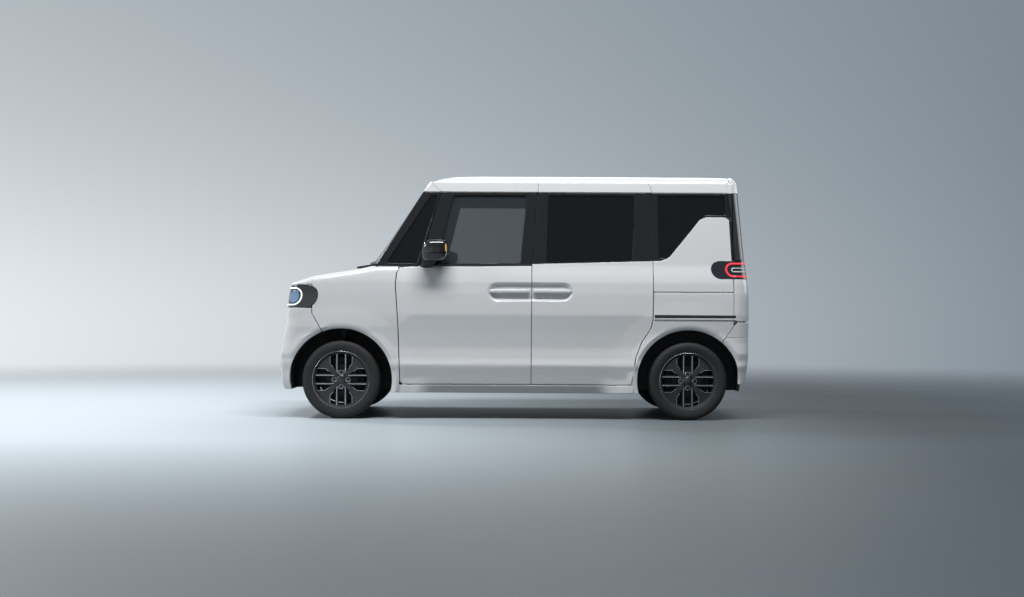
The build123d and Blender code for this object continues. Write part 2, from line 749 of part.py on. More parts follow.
# ---- tailgate ----
GATE_GLASS = [(-590, 1190), (590, 1190), (540, 1640), (-540, 1640)]
with BuildPart() as gate_glass_prism:
    with BuildSketch(Plane.YZ.offset(REAR_X + 200)):
        with BuildLine():
            FilletPolyline(*GATE_GLASS, radius=40, close=True)
        make_face()
    extrude(amount=600)

with BuildPart() as tailgate:
    add(shell(GATE_WALL))
    add(gate_prism(-3), mode=Mode.INTERSECT)
    add(gate_glass_prism.part, mode=Mode.SUBTRACT)
    add(rod((GATE_AXIS[0], 0, GATE_AXIS[1]), GATE_SWING_R, 2 * FAR), mode=Mode.SUBTRACT)
    for hinge_y in GATE_HINGES_Y:
        ax, az = GATE_AXIS
        add(gooseneck(Plane.XZ.offset(-hinge_y), [(ax, az), (ax, az - 42), (ax + 50, az - 44),
                                                  (ax + 100, az - 30)],
                      10, HINGE_LONG))
        add(rod((ax, hinge_y, az), HINGE_BARREL_R, HINGE_LONG))
        add(rod((ax, hinge_y, az), HINGE_PIN_R + PIN_PLAY, HINGE_LONG), mode=Mode.SUBTRACT)
save(tailgate.part, "tailgate")
print("tailgate solids", len(tailgate.solids()))

save(pane(gate_glass_prism.part), "tailgate_glass")

# ---- mirrors ----
MIRROR_Z = (1151.0, 1283.0)
with BuildPart() as mirror_left:
    with Locations((FRONT_X + 677, -HALF_W - 72, sum(MIRROR_Z) / 2)):
        Box(197, 180, MIRROR_Z[1] - MIRROR_Z[0])
    fillet(mirror_left.edges(), 28)
    add(block((FRONT_X + 560, FRONT_X + 660), (-HALF_W - 40, -HALF_W + 38), (BELT_Z - 22, 1165)))
    add(body_form(0.0), mode=Mode.SUBTRACT)
save(mirror_left.part, "mirror_left")
save(mirrored(mirror_left.part), "mirror_right")
print("mirror solids", len(mirror_left.solids()))

# ---- floor, bulkhead, wheel houses and strut towers ----
KING_DIR = (0, KING_LEAN, 1)


def king_point(z):
    return (FRONT_X, -(KING_Y - KING_LEAN * (z - KING_Z)), z)


def king_rod(z_low, z_high, radius):
    """A cylinder on the left steering axis between two heights."""
    low, high = king_point(z_low), king_point(z_high)
    middle = [(a + b) / 2 for a, b in zip(low, high)]
    return rod(middle, radius, (z_high - z_low) * sqrt(1 + KING_LEAN**2), KING_DIR)


with BuildPart() as floor_pan:
    with BuildSketch(Plane.XZ) as sheet:
        with BuildLine():
            Polyline(
                (FRONT_X + 180, BELT_Z - 30), (FRONT_X + 180, 430), (FRONT_X + 310, FLOOR_Z - SHEET / 2),
                (REAR_X - 440, FLOOR_Z - SHEET / 2), (REAR_X - 380, LOAD_FLOOR_Z - SHEET / 2),
                (REAR_X + 350, LOAD_FLOOR_Z - SHEET / 2))
        trace(line_width=SHEET)
    extrude(amount=540, both=True)
    with BuildPart(mode=Mode.PRIVATE) as liners:
        add(liner_drum(FRONT_X, FRONT_HOUSE_Y))
        add(liner_drum(REAR_X, REAR_HOUSE_Y))
        add(block((-FAR, FAR), (-FAR, 0), (SILL_Z + 20, HEIGHT)), mode=Mode.INTERSECT)
        add(king_rod(620.0, STRUT_TOP_Z + REST + LINER, 66))
    with BuildPart(mode=Mode.PRIVATE) as wheel_space:
        for axle_x, inner_y in ((FRONT_X, FRONT_HOUSE_Y), (REAR_X, REAR_HOUSE_Y)):
            add(rod((axle_x, -(inner_y + FAR) / 2, TYRE_R), ARCH_R, FAR - inner_y))
        add(king_rod(600.0, STRUT_TOP_Z + REST, 58))
        add(block((REAR_X - 60, REAR_X + 60), (-540, -REAR_HOUSE_Y + LINER), (SILL_Z, 345)))
    add(liners.part)
    add(mirrored(liners.part))
    add(wheel_space.part, mode=Mode.SUBTRACT)
    add(mirrored(wheel_space.part), mode=Mode.SUBTRACT)
    for hinge_y in BONNET_HINGES_Y:
        for end in (-1, 1):
            y = hinge_y + end * (HINGE_LONG + HINGE_PLATE + 2 * REST) / 2
            add(block((BONNET_AXIS[0] - 9, FRONT_X + 185), (y - HINGE_PLATE / 2, y + HINGE_PLATE / 2),
                      (BONNET_AXIS[1] - 9, BONNET_AXIS[1] + 8)))
        add(rod((BONNET_AXIS[0], hinge_y, BONNET_AXIS[1]), HINGE_PIN_R, HINGE_LONG + HINGE_PLATE))
    add(block((FRONT_X + 172, FRONT_X + 188), (-HALF_W + 94, HALF_W - 94), (700, BELT_Z - 30)))
    add(block((FRONT_X + 172, FRONT_X + 276), (-HALF_W + 110, -HALF_W + 94), (700, BELT_Z - 30)))
    add(block((FRONT_X + 172, FRONT_X + 276), (HALF_W - 110, HALF_W - 94), (700, BELT_Z - 30)))
save(floor_pan.part, "floor_pan")
print("floor solids", len(floor_pan.solids()))

# ---- front subframe, lower arms and steering rack ----
with BuildPart() as front_suspension:
    add(block((FRONT_X - 180, FRONT_X + 180), (-330, 330), (170, 215)))
    for side in (-1, 1):
        add(block((FRONT_X - 26, FRONT_X + 26), (side * 320, side * 604), (132, 152)))
        add(block((FRONT_X - 90, FRONT_X + 90), (side * 300, side * 360), (132, 175)))
        lean = (0, -side * KING_LEAN, 1)
        add(rod((FRONT_X, side * (KING_Y + 3.3), 155), 24, 19.4, lean))
    add(rod((FRONT_X + 150, 0, 250), 24, 620))
    add(block((FRONT_X + 120, FRONT_X + 180), (-200, -140), (210, 260)))
    add(block((FRONT_X + 120, FRONT_X + 180), (140, 200), (210, 260)))
    # side members that hang the subframe from the bulkhead's foot
    for side in (-1, 1):
        add(block((FRONT_X + 120, FRONT_X + 420), (side * 250, side * 310), (195, FLOOR_Z - SHEET)))
save(front_suspension.part, "front_suspension")
print("suspension solids", len(front_suspension.solids()))

# ---- steering knuckle with its strut and spring ----
HUB_IN_Y = 556.0
HUB_BACK_Y = 606.0
with BuildPart() as knuckle_left:
    add(king_rod(165.0, 600.0, 19))
    add(king_rod(590.0, 770.0, 46))
    add(king_rod(765.0, STRUT_TOP_Z, 9))
    add(rod((FRONT_X, -(HUB_IN_Y + HUB_BACK_Y) / 2, TYRE_R), 44, HUB_BACK_Y - HUB_IN_Y))
    add(rod((FRONT_X, -(HUB_IN_Y + HUB_BACK_Y) / 2, TYRE_R), SPINDLE_R + RUN, HUB_BACK_Y - HUB_IN_Y + 60),
        mode=Mode.SUBTRACT)
save(knuckle_left.part, "knuckle_left")
save(mirrored(knuckle_left.part), "knuckle_right")
print("knuckle solids", len(knuckle_left.solids()))

# ---- rear axle: carriers, trailing arms, twist beam, springs ----
with BuildPart() as rear_axle:
    for side in (-1, 1):
        add(rod((REAR_X, side * (HUB_IN_Y + HUB_BACK_Y) / 2, TYRE_R), 44, HUB_BACK_Y - HUB_IN_Y))
        add(block((REAR_X - 330, REAR_X + 20), (side * 478, side * 527), (235, 290)))
        add(block((REAR_X - 40, REAR_X + 40), (side * 478, side * 580), (248, 314)))
        add(rod((REAR_X - 60, side * 440, (255 + LOAD_FLOOR_Z - SHEET - REST) / 2), 46,
                LOAD_FLOOR_Z - SHEET - REST - 255, (0, 0, 1)))
        add(block((REAR_X - 120, REAR_X), (side * 390, side * 490), (245, 262)))
        add(rod((REAR_X, side * (HUB_IN_Y + HUB_BACK_Y) / 2, TYRE_R), SPINDLE_R + RUN,
                HUB_BACK_Y - HUB_IN_Y + 60), mode=Mode.SUBTRACT)
    add(block((REAR_X - 170, REAR_X - 110), (-500, 500), (240, 290)))
save(rear_axle.part, "rear_axle")
print("rear axle solids", len(rear_axle.solids()))

# ---- wheels ----
WINDOW_IN_R = 62.0
WINDOW_OUT_R = 172.0


def rim_at(axle_x):
    """A left rim: barrel, dished disc with windows, hub and spindle, about the wheel's axis."""
    # profile rows: (out from the wheel's mid-plane, radius)
    barrel = [(-RIM_HALF, RIM_BEAD_R), (-RIM_HALF, RIM_FLANGE_R), (-RIM_HALF + 8, RIM_FLANGE_R),
              (-RIM_HALF + 12, RIM_BEAD_R), (RIM_HALF - 12, RIM_BEAD_R), (RIM_HALF - 8, RIM_FLANGE_R),
              (RIM_HALF, RIM_FLANGE_R), (RIM_HALF, RIM_BEAD_R - 10), (RIM_HALF - 30, RIM_BEAD_R - 12),
              (-RIM_HALF + 30, RIM_BEAD_R - 12)]
    disc = [(HUB_OUT, SPINDLE_R), (HUB_OUT, 72), (RIM_HALF - 24, RIM_BEAD_R - 11),
            (RIM_HALF - 2, RIM_BEAD_R - 11),
            (HUB_OUT + 18, 66), (HUB_OUT + 18, 30), (HUB_OUT + 24, 26), (HUB_OUT + 24, 0), (HUB_OUT, 0)]
    with BuildPart() as rim:
        for rows in (barrel, disc):
            with BuildSketch(Plane(origin=(axle_x, -WHEEL_Y, TYRE_R), x_dir=(0, -1, 0), z_dir=(1, 0, 0))):
                with BuildLine():
                    Polyline(*rows, close=True)
                make_face()
            revolve(axis=Axis((axle_x, 0, TYRE_R), (0, 1, 0)))
        face = Plane.XZ.offset(WHEEL_Y + HUB_OUT)
        with BuildSketch(face):
            with Locations((axle_x, TYRE_R)):
                with PolarLocations(0, 4):
                    for half in (-1, 1):
                        with Locations(Location((0, 0, 0), (0, 0, half * 23))):
                            with Locations(((WINDOW_IN_R + WINDOW_OUT_R) / 2 + 10, 0)):
                                Trapezoid(WINDOW_OUT_R - WINDOW_IN_R - 22, 34, 80, 80, rotation=0)
                    with Locations(((WINDOW_IN_R + WINDOW_OUT_R) / 2, 0)):
                        Rectangle(WINDOW_OUT_R - WINDOW_IN_R, 40)
        extrude(amount=60, both=True, mode=Mode.SUBTRACT)
        with BuildSketch(Plane.XZ.offset(WHEEL_Y)):
            with Locations((axle_x, TYRE_R)):
                with PolarLocations(BOLT_PCD / 2, 4, start_angle=45):
                    Circle(BOLT_R)
        extrude(amount=100, mode=Mode.SUBTRACT)
        add(rod((axle_x, -(HUB_IN_Y + WHEEL_Y + HUB_OUT + 4) / 2, TYRE_R), SPINDLE_R,
                WHEEL_Y + HUB_OUT + 4 - HUB_IN_Y))
        add(rod((axle_x, -(HUB_BACK_Y + REST + WHEEL_Y + HUB_OUT) / 2, TYRE_R), 36,
                WHEEL_Y + HUB_OUT - HUB_BACK_Y - REST))
    return rim.part


def tyre_at(axle_x):
    """A left tyre: round-shouldered section carried round the wheel."""
    half, tread = TYRE_WIDTH / 2, TREAD_WIDTH / 2
    bead = RIM_HALF - 12
    with BuildPart() as tyre:
        with BuildSketch(Plane(origin=(axle_x, -WHEEL_Y, TYRE_R), x_dir=(0, -1, 0), z_dir=(1, 0, 0))):
            with BuildLine():
                FilletPolyline((-bead, RIM_BEAD_R), (-bead + 0.5, RIM_FLANGE_R + 4), (-half, 232),
                               (-tread, TYRE_R - 6),
                               (0, TYRE_R), (tread, TYRE_R - 6), (half, 232), (bead - 0.5, RIM_FLANGE_R + 4),
                               (bead, RIM_BEAD_R),
                               radius=[0, 4, 24, 22, 300, 22, 24, 4, 0], close=True)
            make_face()
        revolve(axis=Axis((axle_x, 0, TYRE_R), (0, 1, 0)))
    return tyre.part


for end, axle_x in (("front", FRONT_X), ("rear", REAR_X)):
    rim, tyre = rim_at(axle_x), tyre_at(axle_x)
    print(end, "rim solids", len(rim.solids()), "tyre", len(tyre.solids()))
    save(rim, f"rim_{end}_left")
    save(mirrored(rim), f"rim_{end}_right")
    save(tyre, f"tyre_{end}_left")
    save(mirrored(tyre), f"tyre_{end}_right")

# ---- engine, tank and exhaust ----
with BuildPart() as engine:
    add(block((FRONT_X - 170, FRONT_X + 110), (-300, 300), (215, 800)))
save(engine.part, "engine")

TANK_FOOT_Z = 172.0
with BuildPart() as fuel_tank:
    with Locations((FRONT_X + 1150, 0, (TANK_FOOT_Z + FLOOR_Z - SHEET) / 2)):
        Box(640, 680, FLOOR_Z - SHEET - TANK_FOOT_Z)
    fillet(fuel_tank.edges().filter_by(Axis.Z), 40)
    fillet(fuel_tank.faces().sort_by(Axis.Z)[0].edges(), 14)
save(fuel_tank.part, "fuel_tank")

PIPE_R = 22.0
PIPE_Z = 200.0
PIPE_Y = 366.0
MUFFLER_R = 82.0
MUFFLER_Z = 305.0
with BuildPart() as exhaust:
    with BuildLine() as pipe_line:
        FilletPolyline(
            (FRONT_X + 200, 150, PIPE_Z), (FRONT_X + 420, 150, PIPE_Z), (FRONT_X + 600, PIPE_Y, PIPE_Z),
            (REAR_X - 430, PIPE_Y, PIPE_Z), (REAR_X - 300, PIPE_Y, MUFFLER_Z + 40),
            (REAR_X + 220, PIPE_Y, MUFFLER_Z + 40), radius=60)
    with BuildSketch(Plane(origin=(FRONT_X + 200, 150, PIPE_Z), z_dir=(1, 0, 0))):
        Circle(PIPE_R)
    sweep(path=pipe_line.wires()[0])
    add(rod((REAR_X + 262, 230, MUFFLER_Z), MUFFLER_R, 420))
    add(block((REAR_X + 247, REAR_X + 277), (60, 100), (MUFFLER_Z + 60, LOAD_FLOOR_Z - SHEET)))
    add(block((REAR_X + 247, REAR_X + 277), (360, 400), (MUFFLER_Z + 60, LOAD_FLOOR_Z - SHEET)))
save(exhaust.part, "exhaust")
print("exhaust solids", len(exhaust.solids()))

# ---- cabin ----
SEAT_Y = 340.0
SEAT_X = FRONT_X + 880
with BuildPart() as dashboard:
    with BuildSketch(Plane.XZ):
        with BuildLine():
            FilletPolyline((FRONT_X + 188, 1060), (FRONT_X + 188, 760), (FRONT_X + 420, 640),
                           (FRONT_X + 500, 700),
                           (FRONT_X + 520, 900), (FRONT_X + 440, 1010), (FRONT_X + 262, 1068),
                           radius=[0, 30, 30, 40, 60, 60, 0], close=True)
        make_face()
    extrude(amount=620, both=True)
save(dashboard.part, "dashboard")

WHEEL_TILT = 25.0
WHEEL_AXIS = (cos(radians(WHEEL_TILT)), 0, sin(radians(WHEEL_TILT)))
WHEEL_CENTRE = (FRONT_X + 640, SEAT_Y, 930)
with BuildPart() as steering_wheel:
    with BuildSketch(Plane(origin=WHEEL_CENTRE, x_dir=(0, 1, 0), z_dir=(WHEEL_AXIS[2], 0, -WHEEL_AXIS[0]))):
        with Locations((170, 0)):
            Ellipse(13, 16)
    revolve(axis=Axis(WHEEL_CENTRE, WHEEL_AXIS))
    with BuildSketch(Plane(origin=WHEEL_CENTRE, x_dir=(0, 1, 0), z_dir=WHEEL_AXIS)):
        Rectangle(340, 26)
        with Locations((0, 0)):
            Circle(62)
    extrude(amount=12, both=True)
    add(rod([c - 40 * a for c, a in zip(WHEEL_CENTRE, WHEEL_AXIS)], 14, 60, WHEEL_AXIS))
save(steering_wheel.part, "steering_wheel")
print("steering wheel solids", len(steering_wheel.solids()))

with BuildPart() as steering_column:
    add(rod([c - (70 + REST + 45) * a for c, a in zip(WHEEL_CENTRE, WHEEL_AXIS)], 32, 90, WHEEL_AXIS))
    add(dashboard.part, mode=Mode.SUBTRACT)
save(steering_column.part, "steering_column")
print("column solids", len(steering_column.solids()))


def side_profile(rows, low_y, high_y):
    """A closed outline of (x, z, radius) carried between two widths."""
    with BuildPart() as solid:
        with BuildSketch(Plane.XZ.offset(-high_y)):
            with BuildLine():
                FilletPolyline(*[(x, z) for x, z, r in rows], radius=[r for x, z, r in rows], close=True)
            make_face()
        extrude(amount=high_y - low_y)
    return solid.part


def seat(front_x, back_x, low_y, high_y, base_z, base_back_x):
    """Base, cushion, and backrest with its headrest, each its own solid."""
    middle = (low_y + high_y) / 2
    foot_z = base_z + REST
    back_foot_x = back_x + REST
    with BuildPart() as seat_part:
        add(block((front_x + 60, base_back_x), (low_y + 40, high_y - 40), (FLOOR_Z, base_z)))
        add(side_profile([(front_x, foot_z, 20), (back_x, foot_z, 0), (back_x, foot_z + 135, 0),
                          (front_x + 40, foot_z + 150, 50), (front_x - 20, foot_z + 110, 40)], low_y, high_y))
        add(side_profile([(back_foot_x, foot_z, 0), (back_x + 110, foot_z, 20),
                          (back_x + 215, foot_z + 650, 30),
                          (back_x + 130, foot_z + 670, 30), (back_foot_x, foot_z + 190, 150)], low_y + 8,
                          high_y - 8))
        add(side_profile([(back_x + 135, foot_z + 690, 20), (back_x + 225, foot_z + 680, 20),
                          (back_x + 250, foot_z + 850, 30), (back_x + 170, foot_z + 860, 30)],
                         middle - 125, middle + 125))
        for side in (-1, 1):
            add(rod((back_x + 172, middle + side * 60, foot_z + 680), 6, 60, (0.18, 0, 1)))
    return seat_part.part


for name, middle in (("front_seat_left", -SEAT_Y), ("front_seat_right", SEAT_Y)):
    front_seat = seat(SEAT_X - 120, SEAT_X + 380, middle - 250, middle + 250, 470, SEAT_X + 470)
    save(front_seat, name)
    print(name, "solids", len(front_seat.solids()))
rear_seat = seat(REAR_X - 690, REAR_X - 210, -500, 500, 500, REAR_X - 460)
save(rear_seat, "rear_seat")
print("rear seat solids", len(rear_seat.solids()))
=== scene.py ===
"""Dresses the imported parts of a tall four-door kei wagon with sliding rear doors.

Every new surface is a function of two parameters worked out on a numpy grid. Lengths in the tables are
millimetres; x is measured rearwards from the front axle (F) or the rear axle (R), z is the height.
"""
import math

import bmesh
import bpy
import numpy as np
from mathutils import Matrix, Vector
from bpy.props import FloatProperty, FloatVectorProperty, IntProperty, PointerProperty


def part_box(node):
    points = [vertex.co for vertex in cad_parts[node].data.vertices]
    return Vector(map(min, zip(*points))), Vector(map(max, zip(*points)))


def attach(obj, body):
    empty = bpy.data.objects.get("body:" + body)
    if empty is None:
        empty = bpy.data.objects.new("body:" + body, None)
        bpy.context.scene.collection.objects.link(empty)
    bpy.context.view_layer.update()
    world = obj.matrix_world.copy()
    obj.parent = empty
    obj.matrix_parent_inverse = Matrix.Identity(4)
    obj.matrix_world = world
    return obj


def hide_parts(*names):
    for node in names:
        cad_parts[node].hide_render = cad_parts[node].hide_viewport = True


bl_info = {
    "name": "Kei Wagon Dressing",
    "version": (1, 0, 0),
    "blender": (4, 5, 0),
    "location": "View3D > Sidebar > Kei Wagon",
    "description": "Builds body skins, glass, lamps, wheels, seats and a studio round the packed kei wagon",
    "category": "Add Mesh",
}

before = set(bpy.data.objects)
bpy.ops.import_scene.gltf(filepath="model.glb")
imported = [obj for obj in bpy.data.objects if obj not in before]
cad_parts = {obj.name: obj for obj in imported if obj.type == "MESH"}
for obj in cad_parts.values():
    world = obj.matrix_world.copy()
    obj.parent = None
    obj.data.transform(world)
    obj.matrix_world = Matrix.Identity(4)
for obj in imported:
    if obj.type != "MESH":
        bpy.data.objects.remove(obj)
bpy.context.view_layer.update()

MM = 0.001
MERGE, SLIVER = 0.00002, 0.00001  # metres: doubles closer than this are merged, thinner faces dissolved
GRAIN_HEIGHT = 0.0006  # metres
COVER_PRESSURE, FILL_FRAMES, FILL_REACH = 2.4, 12, 0.008  # cloth pressure, frames, metres

# ---- the body's driving numbers, mm ----
F, R = -1236.5, 1258.5  # front and rear axle
HALF_W, AXLE_Z, ARCH_R = 737.5, 281.0, 368.0
SKIN, GAP, EDGE_R = 3.0, 6.0, 2.5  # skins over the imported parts, shut gap, rolled edge
NOSE_R, TAIL_R = 105.0, 95.0  # corners between the faces and the sides, in plan
NOSE_FLAT, TAIL_FLAT = 630.0, 642.0  # half-lengths of the two faces
SHOULDER_R, CROWN = 42.0, 20.0  # fender's shoulder, and the bonnet's fall towards it
FENDER_RELIEF, DOOR_RELIEF = 7.5, 8.0  # the most the relief stands out ahead of the doors, and the rest
ARCHES = ((F, 535.0), (R, 575.0))  # axle, radius of the crease round it
FLARE_R, FLARE_OUT, FLARE_STEP, FLARE_TUCK = 404.0, 10.0, 3.0, 11.0  # arch band: radius, swell, step, tuck
NOSE_TOP, STRIP_Z, FOLD_Z = 985.0, 962.0, 1000.0  # top of the nose line, lamp strip's foot, fender's fold
RAIL_Z, DRIP_Z = 1641.0, 1718.0  # the roof rail's two edges
BONNET_Y, ROOF_HALF = 650.0, 613.5  # half-widths
FENDER_FRONT = F - 205.0
PANEL_END, CAP_X = R + 321.0, R + 303.0  # rear ends of the side panels and of the roof
SEAM_WIDTH = 5.0  # seams pressed into the seats
SIDES = (("left", -1.0), ("right", 1.0))
ROOT = ("root", "root")
FRONT_DOORS = ("front_door_left", "front_door_right")
BODY_MIDDLE = (0.0, 0.0, 800.0)
ALONG, ACROSS, UP = (1.0, 0, 0), (0, 1.0, 0), (0, 0, 1.0)


def moved(rows, by):
    """An outline's rows with x moved."""
    return [(row[0] + by, *row[1:]) for row in rows]


def from_front(rows):
    """Rows whose x is given from the front axle."""
    return moved(rows, F)


def from_rear(rows):
    """Rows whose x is given from the rear axle."""
    return moved(rows, R)


# Half-width taken in from the widest point: (z, in)
SECTION = [(150, 60), (190, 46), (250, 20), (384, 1.5), (390, 1.0), (430, 5.0), (520, 8.5), (620, 5.0),
           (700, 0.0), (760, -2.5), (900, -2.5), (985, 1.5), (1030, 8.0), (1112, 31), (1640, 106),
           (1718, 124), (1740, 140)]
# How far the painted skins stand proud of the plain section: (z, mm)
PROUD = [(150, 0), (250, 0), (323, 4), (390, 9.6), (396, 10), (440, 3.4), (500, 0.7), (560, 2.6),
         (640, 6.3), (700, 10), (748, 14.6), (820, 14), (900, 13), (985, 9), (1030, 4), (1112, 0),
         (1640, 0), (1740, 0)]
# Nose and tail lines: (z, x)
NOSE = [(150, F - 380), (205, F - 428), (250, F - 448), (320, F - 458), (470, F - 458), (560, F - 444),
        (700, F - 412), (800, F - 405), (860, F - 402), (930, F - 388), (990, F - 370)]
TAIL = [(150, R + 395), (268, R + 412), (420, R + 438), (700, R + 440), (900, R + 438), (1118, R + 416),
        (1640, R + 374), (1700, R + 368), (1740, R + 352)]
# Bonnet and shoulder line, and roof line: (x, z)
BONNET_LINE = [(F - 470, 960), (F - 400, 978), (F - 362, 996), (F - 225, 1043), (F - 60, 1070),
               (F + 130, 1101), (F + 262, 1130), (R + 450, 1140)]
ROOF_LINE = [(F + 545, 1664), (F + 575, 1697), (F + 620, 1719), (F + 690, 1742), (F + 800, 1757),
             (F + 1000, 1772), (F + 1536, 1785), (R - 308, 1785), (R + 76, 1777), (R + 338, 1752)]
# Roof's cross-section: (half-width, z)
ROOF_SECTION = [(0, 1797), (284, 1787), (400, 1776), (520, 1763), (575, 1749), (603, 1731), (613.5, 1718)]

# ---- side outlines, (x, z, corner radius) ----
BELT = [(F + 200, 1098), (F + 720, 1103), (R - 256, 1144), (R + 400, 1146)]
FRONT_DOOR_EDGE = from_front([(484, 253, 0), (425, 255, 45), (427, 310, 30), (412, 680, 400),
                              (393, 964, 100), (400, 1050, 60), (418, 1092, 0)])
DOOR_MEET = from_front([(1366, 253), (1369, 1105), (1409, 1640)])
SLIDING_DOOR_EDGE = from_rear([(-470, 253, 0), (-411, 256, 30), (-408, 283, 25), (-396, 343, 60),
                               (-382, 451, 100), (-340, 559, 100), (-274, 655, 60), (-259, 727, 60),
                               (-256, 1144, 0)])
KICK_UP = from_rear([(-253, 1144), (-197, 1146), (-138, 1170), (41, 1388), (88, 1449), (137, 1465),
                     (270, 1465), (297, 1447)])
SAIL_FRAME = from_front([(246, 1101, 0), (579, 1640, 0), (707, 1640, 0), (552, 1101, 0)])
SAIL_PANE = from_front([(320, 1119, 10), (638, 1620, 8), (694, 1620, 8), (540, 1119, 15)])
FRONT_FRAME = from_front([(560, 1104, 0), (716, 1640, 8), (1407, 1640, 8), (1369, 1119, 0)])
FRONT_PANE = from_front([(694, 1122, 25), (720, 1290, 200), (804, 1621, 22), (1335, 1621, 15),
                         (1286, 1124, 20)])
SLIDING_FRAME = [(F + 1375, 1121, 0), (F + 1415, 1640, 8), (R - 268, 1640, 8), (R - 258, 1146, 0)]
SLIDING_PANE = [(F + 1474, 1128, 20), (F + 1488, 1621, 20), (R - 384, 1621, 20), (R - 404, 1144, 20)]
QUARTER_FRAME = from_rear([(-250, 1147, 0), (-260, 1640, 8), (321, 1640, 0), (321, 1440, 0),
                           (301, 1440, 0), (299, 1449, 4), (283, 1469, 20), (135, 1469, 30),
                           (84, 1452, 60), (-140, 1174, 50), (-197, 1149, 40)])
QUARTER_PANE = from_rear([(-211, 1164, 15), (-218, 1621, 15), (266, 1621, 15), (273, 1480, 10),
                          (135, 1480, 30), (80, 1450, 60), (-152, 1169, 40)])
FENDER_EDGE = [*from_front([(416, 193, 0), (421, 247, 0)]), *moved(FRONT_DOOR_EDGE[2:6], -GAP),
               (F + 413, 1097, 0)]
QUARTER_EDGE = [*from_rear([(-394, 193, 0), (-396, 247, 0)]), *moved(SLIDING_DOOR_EDGE[2:8], GAP + 1),
                *from_rear([(-250, 917, 0), (321, 917, 0), (321, 676, 0)])]
HANDLE_POCKET = (F + 1059, F + 1659, 848.0, 987.0)
POCKET_DEPTH, POCKET_WALL = 24.0, 20.0
HANDLE_Z = 921.5
HEADLAMP_Z, TAIL_LAMP_Z = (797.0, 957.0), (1016.0, 1149.0)
LAMP_LOW = 757.0
LAMP_FRONT_END, LAMP_IN = F - 163, 436.0
TAIL_LAMP_END = R + 160
GATE_S = 560.0 * TAIL_FLAT / (HALF_W - TAIL_R)
WHEELS = (("front_left", F, -1.0), ("front_right", F, 1.0), ("rear_left", R, -1.0), ("rear_right", R, 1.0))


# ================= numpy shapes =================
def smooth(table, soften=14.0):
    """A curve through a table, its corners softened by a running bell-shaped average."""
    rows = np.array(table, float)
    at = np.arange(rows[0, 0] - 4 * soften, rows[-1, 0] + 4 * soften, 2.0)
    lo, hi = rows[1] - rows[0], rows[-1] - rows[-2]
    value = np.interp(at, rows[:, 0], rows[:, 1])
    value += np.where(at < rows[0, 0], (at - rows[0, 0]) * lo[1] / lo[0], 0)
    value += np.where(at > rows[-1, 0], (at - rows[-1, 0]) * hi[1] / hi[0], 0)
    pad = int(1.5 * soften)
    k = np.exp(-0.5 * (np.arange(-pad, pad + 1) * 2.0 / soften) ** 2)
    wide = np.concatenate([value[0] + (np.arange(-pad, 0)) * (value[1] - value[0]), value,
                           value[-1] + np.arange(1, pad + 1) * (value[-1] - value[-2])])
    soft = np.convolve(wide, k / k.sum(), "valid")
    return lambda q: np.interp(q, at, soft)


section_in = smooth(SECTION, 7.0)
proud = smooth(PROUD, 4.0)
upper_in = smooth([row for row in SECTION if row[0] > 900], 30.0)
nose_x = smooth(NOSE, 24.0)
tail_x = smooth(TAIL, 20.0)
bonnet_z = smooth(BONNET_LINE, 22.0)
roof_z = smooth(ROOF_LINE, 22.0)
roof_section_z = smooth(ROOF_SECTION, 12.0)
belt_z = smooth(BELT, 30.0)


def ease(t):
    """A smooth step from 0 to 1."""
    t = np.clip(t, 0.0, 1.0)
    return t * t * (3 - 2 * t)


def unit(v):
    """Vectors scaled to a length of 1."""
    return v / np.linalg.norm(v, axis=-1, keepdims=True)


def xyz(*axes):
    """Points from their coordinates, any of which may be a single number."""
    return np.stack(np.broadcast_arrays(*(np.asarray(axis, float) for axis in axes)), -1)


def edge_roll(away, edge=EDGE_R):
    """How far a skin sinks at a distance from its border, so that the border is rounded over."""
    away = np.minimum(away, edge)
    return edge - np.sqrt(np.maximum(edge * edge - (edge - away) ** 2, 0))


def turned_in(past, radius):
    """How far a side comes in round a corner, given how far it has gone past the corner's start."""
    share = np.minimum(np.clip(past / radius, 0, 1), 0.999)
    return radius * (1 - np.sqrt(1 - share ** 2))


def side_y(x, z):
    """Half-width of the side: the section and its relief, swollen round each wheel from a crease to a
    flat band with a small step, and never inside the cone that carries the band."""
    # ahead of the doors the relief is limited, which keeps the fender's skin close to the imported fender
    limit = FENDER_RELIEF + DOOR_RELIEF * ease((x - F - 395.0) / 150.0)
    body = HALF_W + SKIN - section_in(z) + np.minimum(proud(z), limit)
    out = body
    for axle_x, crease in ARCHES:
        r = np.hypot(x - axle_x, z - AXLE_Z)
        share = (FLARE_OUT * np.clip((crease - r) / (crease - FLARE_R), 0, 1)
                 + FLARE_STEP * ease((FLARE_R - r) / 4.0) - FLARE_TUCK * np.clip((398.0 - r) / 30.0, 0, 1))
        cone = HALF_W - 8.0 + FLARE_TUCK * np.clip((520.0 - r) / 118.0, 0.0, 1.0)
        fade = ease((r - 524.0) / 150.0)
        swell = body + share + np.maximum(HALF_W + SKIN - body, 0.0) * ease((455.0 - r) / 50.0)
        flare = body * fade + np.maximum(cone, body * (r > FLARE_R)) * (1 - fade)
        out = np.maximum(np.where(r < FLARE_R, 0.0, out), np.maximum(swell, flare))
    return out


def end_face(z, tail):
    """Corner radius, half-length of the crowned face and its x at a height, for the nose or the tail."""
    if tail:
        return TAIL_R, TAIL_FLAT, tail_x(z)
    return NOSE_R, NOSE_FLAT, nose_x(np.minimum(z, NOSE_TOP))


